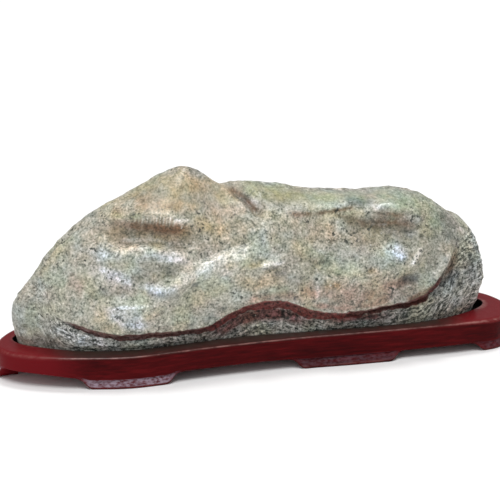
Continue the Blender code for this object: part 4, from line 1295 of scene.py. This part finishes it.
def build_stand():
    points, masks, rings = stand_rings()
    count = STAND_POINTS
    faces = []
    for ring in range(rings - 1):
        inner, outer = ring * count, (ring + 1) * count
        for i in range(count):
            after = (i + 1) % count
            faces.append((inner + i, outer + i, outer + after, inner + after))
    faces.append(list(range(count)))
    faces.append(list(range((rings - 1) * count, rings * count)))
    stand = add_piece("stand_surface", points, faces, stand_material())
    stand.data.set_sharp_from_angle(angle=math.radians(SHARP_ANGLE))
    for name, values in stand_attributes(points, masks).items():
        store(stand, name, values)
    stand_in_for(stand, "stand")


# ---------------------------------------------------------------- studio

# The camera's target and distance are in metres and its angles in degrees.
CAMERA_TARGET = Vector((0.0015, 0.041, 0.080))
CAMERA_DISTANCE = 1.5
CAMERA_AZIMUTH, CAMERA_ELEVATION = -12.0, 20.0
CAMERA_LENS = 122.7
SENSOR_WIDTH = 36.0

FLOOR_SIZE = 12.0
FLOOR_COLOUR = (0.93, 0.93, 0.93)
WORLD_COLOUR = (1.0, 1.0, 1.0)
WORLD_STRENGTH = 0.38
LIGHT_DISTANCE = 1.0
# name, azimuth, elevation, apparent size in degrees, strength in watts per square metre
LIGHTS = [
    ("soft_light", -15, 74, 36, 1.6),
    ("side_light", -62, 26, 40, 0.3),
    ("glint_light", 150, 76, 10, 0.9),
]


def direction(azimuth, elevation):
    """The unit vector towards that azimuth and elevation, in degrees. Azimuth 0 is the front."""
    a, e = math.radians(azimuth), math.radians(elevation)
    return Vector((math.sin(a) * math.cos(e), -math.cos(a) * math.cos(e), math.sin(e)))


def aim(thing, away, distance):
    """Puts a camera or a light that far away from the camera's target, facing the target."""
    thing.location = CAMERA_TARGET + away * distance
    thing.rotation_euler = (-away).to_track_quat("-Z", "Y").to_euler()


def build_camera():
    data = bpy.data.cameras.new("camera")
    data.sensor_width = SENSOR_WIDTH
    data.lens = CAMERA_LENS
    camera = placed("camera", data)
    aim(camera, direction(CAMERA_AZIMUTH, CAMERA_ELEVATION), CAMERA_DISTANCE)
    bpy.context.scene.camera = camera


def build_lights():
    for name, azimuth, elevation, spread, strength in LIGHTS:
        data = bpy.data.lights.new(name, "SUN")
        data.angle = math.radians(spread)
        data.energy = strength
        aim(placed(name, data), direction(azimuth, elevation), LIGHT_DISTANCE)


def build_floor():
    half = FLOOR_SIZE / 2
    mesh = bpy.data.meshes.new("floor")
    corners_of_floor = [(-half, -half, 0), (half, -half, 0), (half, half, 0), (-half, half, 0)]
    mesh.from_pydata(corners_of_floor, [], [(0, 1, 2, 3)])
    material = bpy.data.materials.new("pale_floor")
    material.use_nodes = True
    shader = material.node_tree.nodes["Principled BSDF"]
    shader.inputs["Base Color"].default_value = (*FLOOR_COLOUR, 1)
    shader.inputs["Roughness"].default_value = 0.9
    shader.inputs["Specular IOR Level"].default_value = 0.1
    mesh.materials.append(material)
    floor = placed("floor", mesh)


def build_world():
    world = bpy.data.worlds.new("studio")
    world.use_nodes = True
    background = world.node_tree.nodes["Background"]
    background.inputs["Color"].default_value = (*WORLD_COLOUR, 1)
    background.inputs["Strength"].default_value = WORLD_STRENGTH
    bpy.context.scene.world = world
    bpy.context.scene.view_settings.view_transform = "Standard"


def corners(box):
    return [[float(v) for v in corner] for corner in box]


build_camera()
build_lights()
build_floor()
build_world()
build_stone()
build_stand()
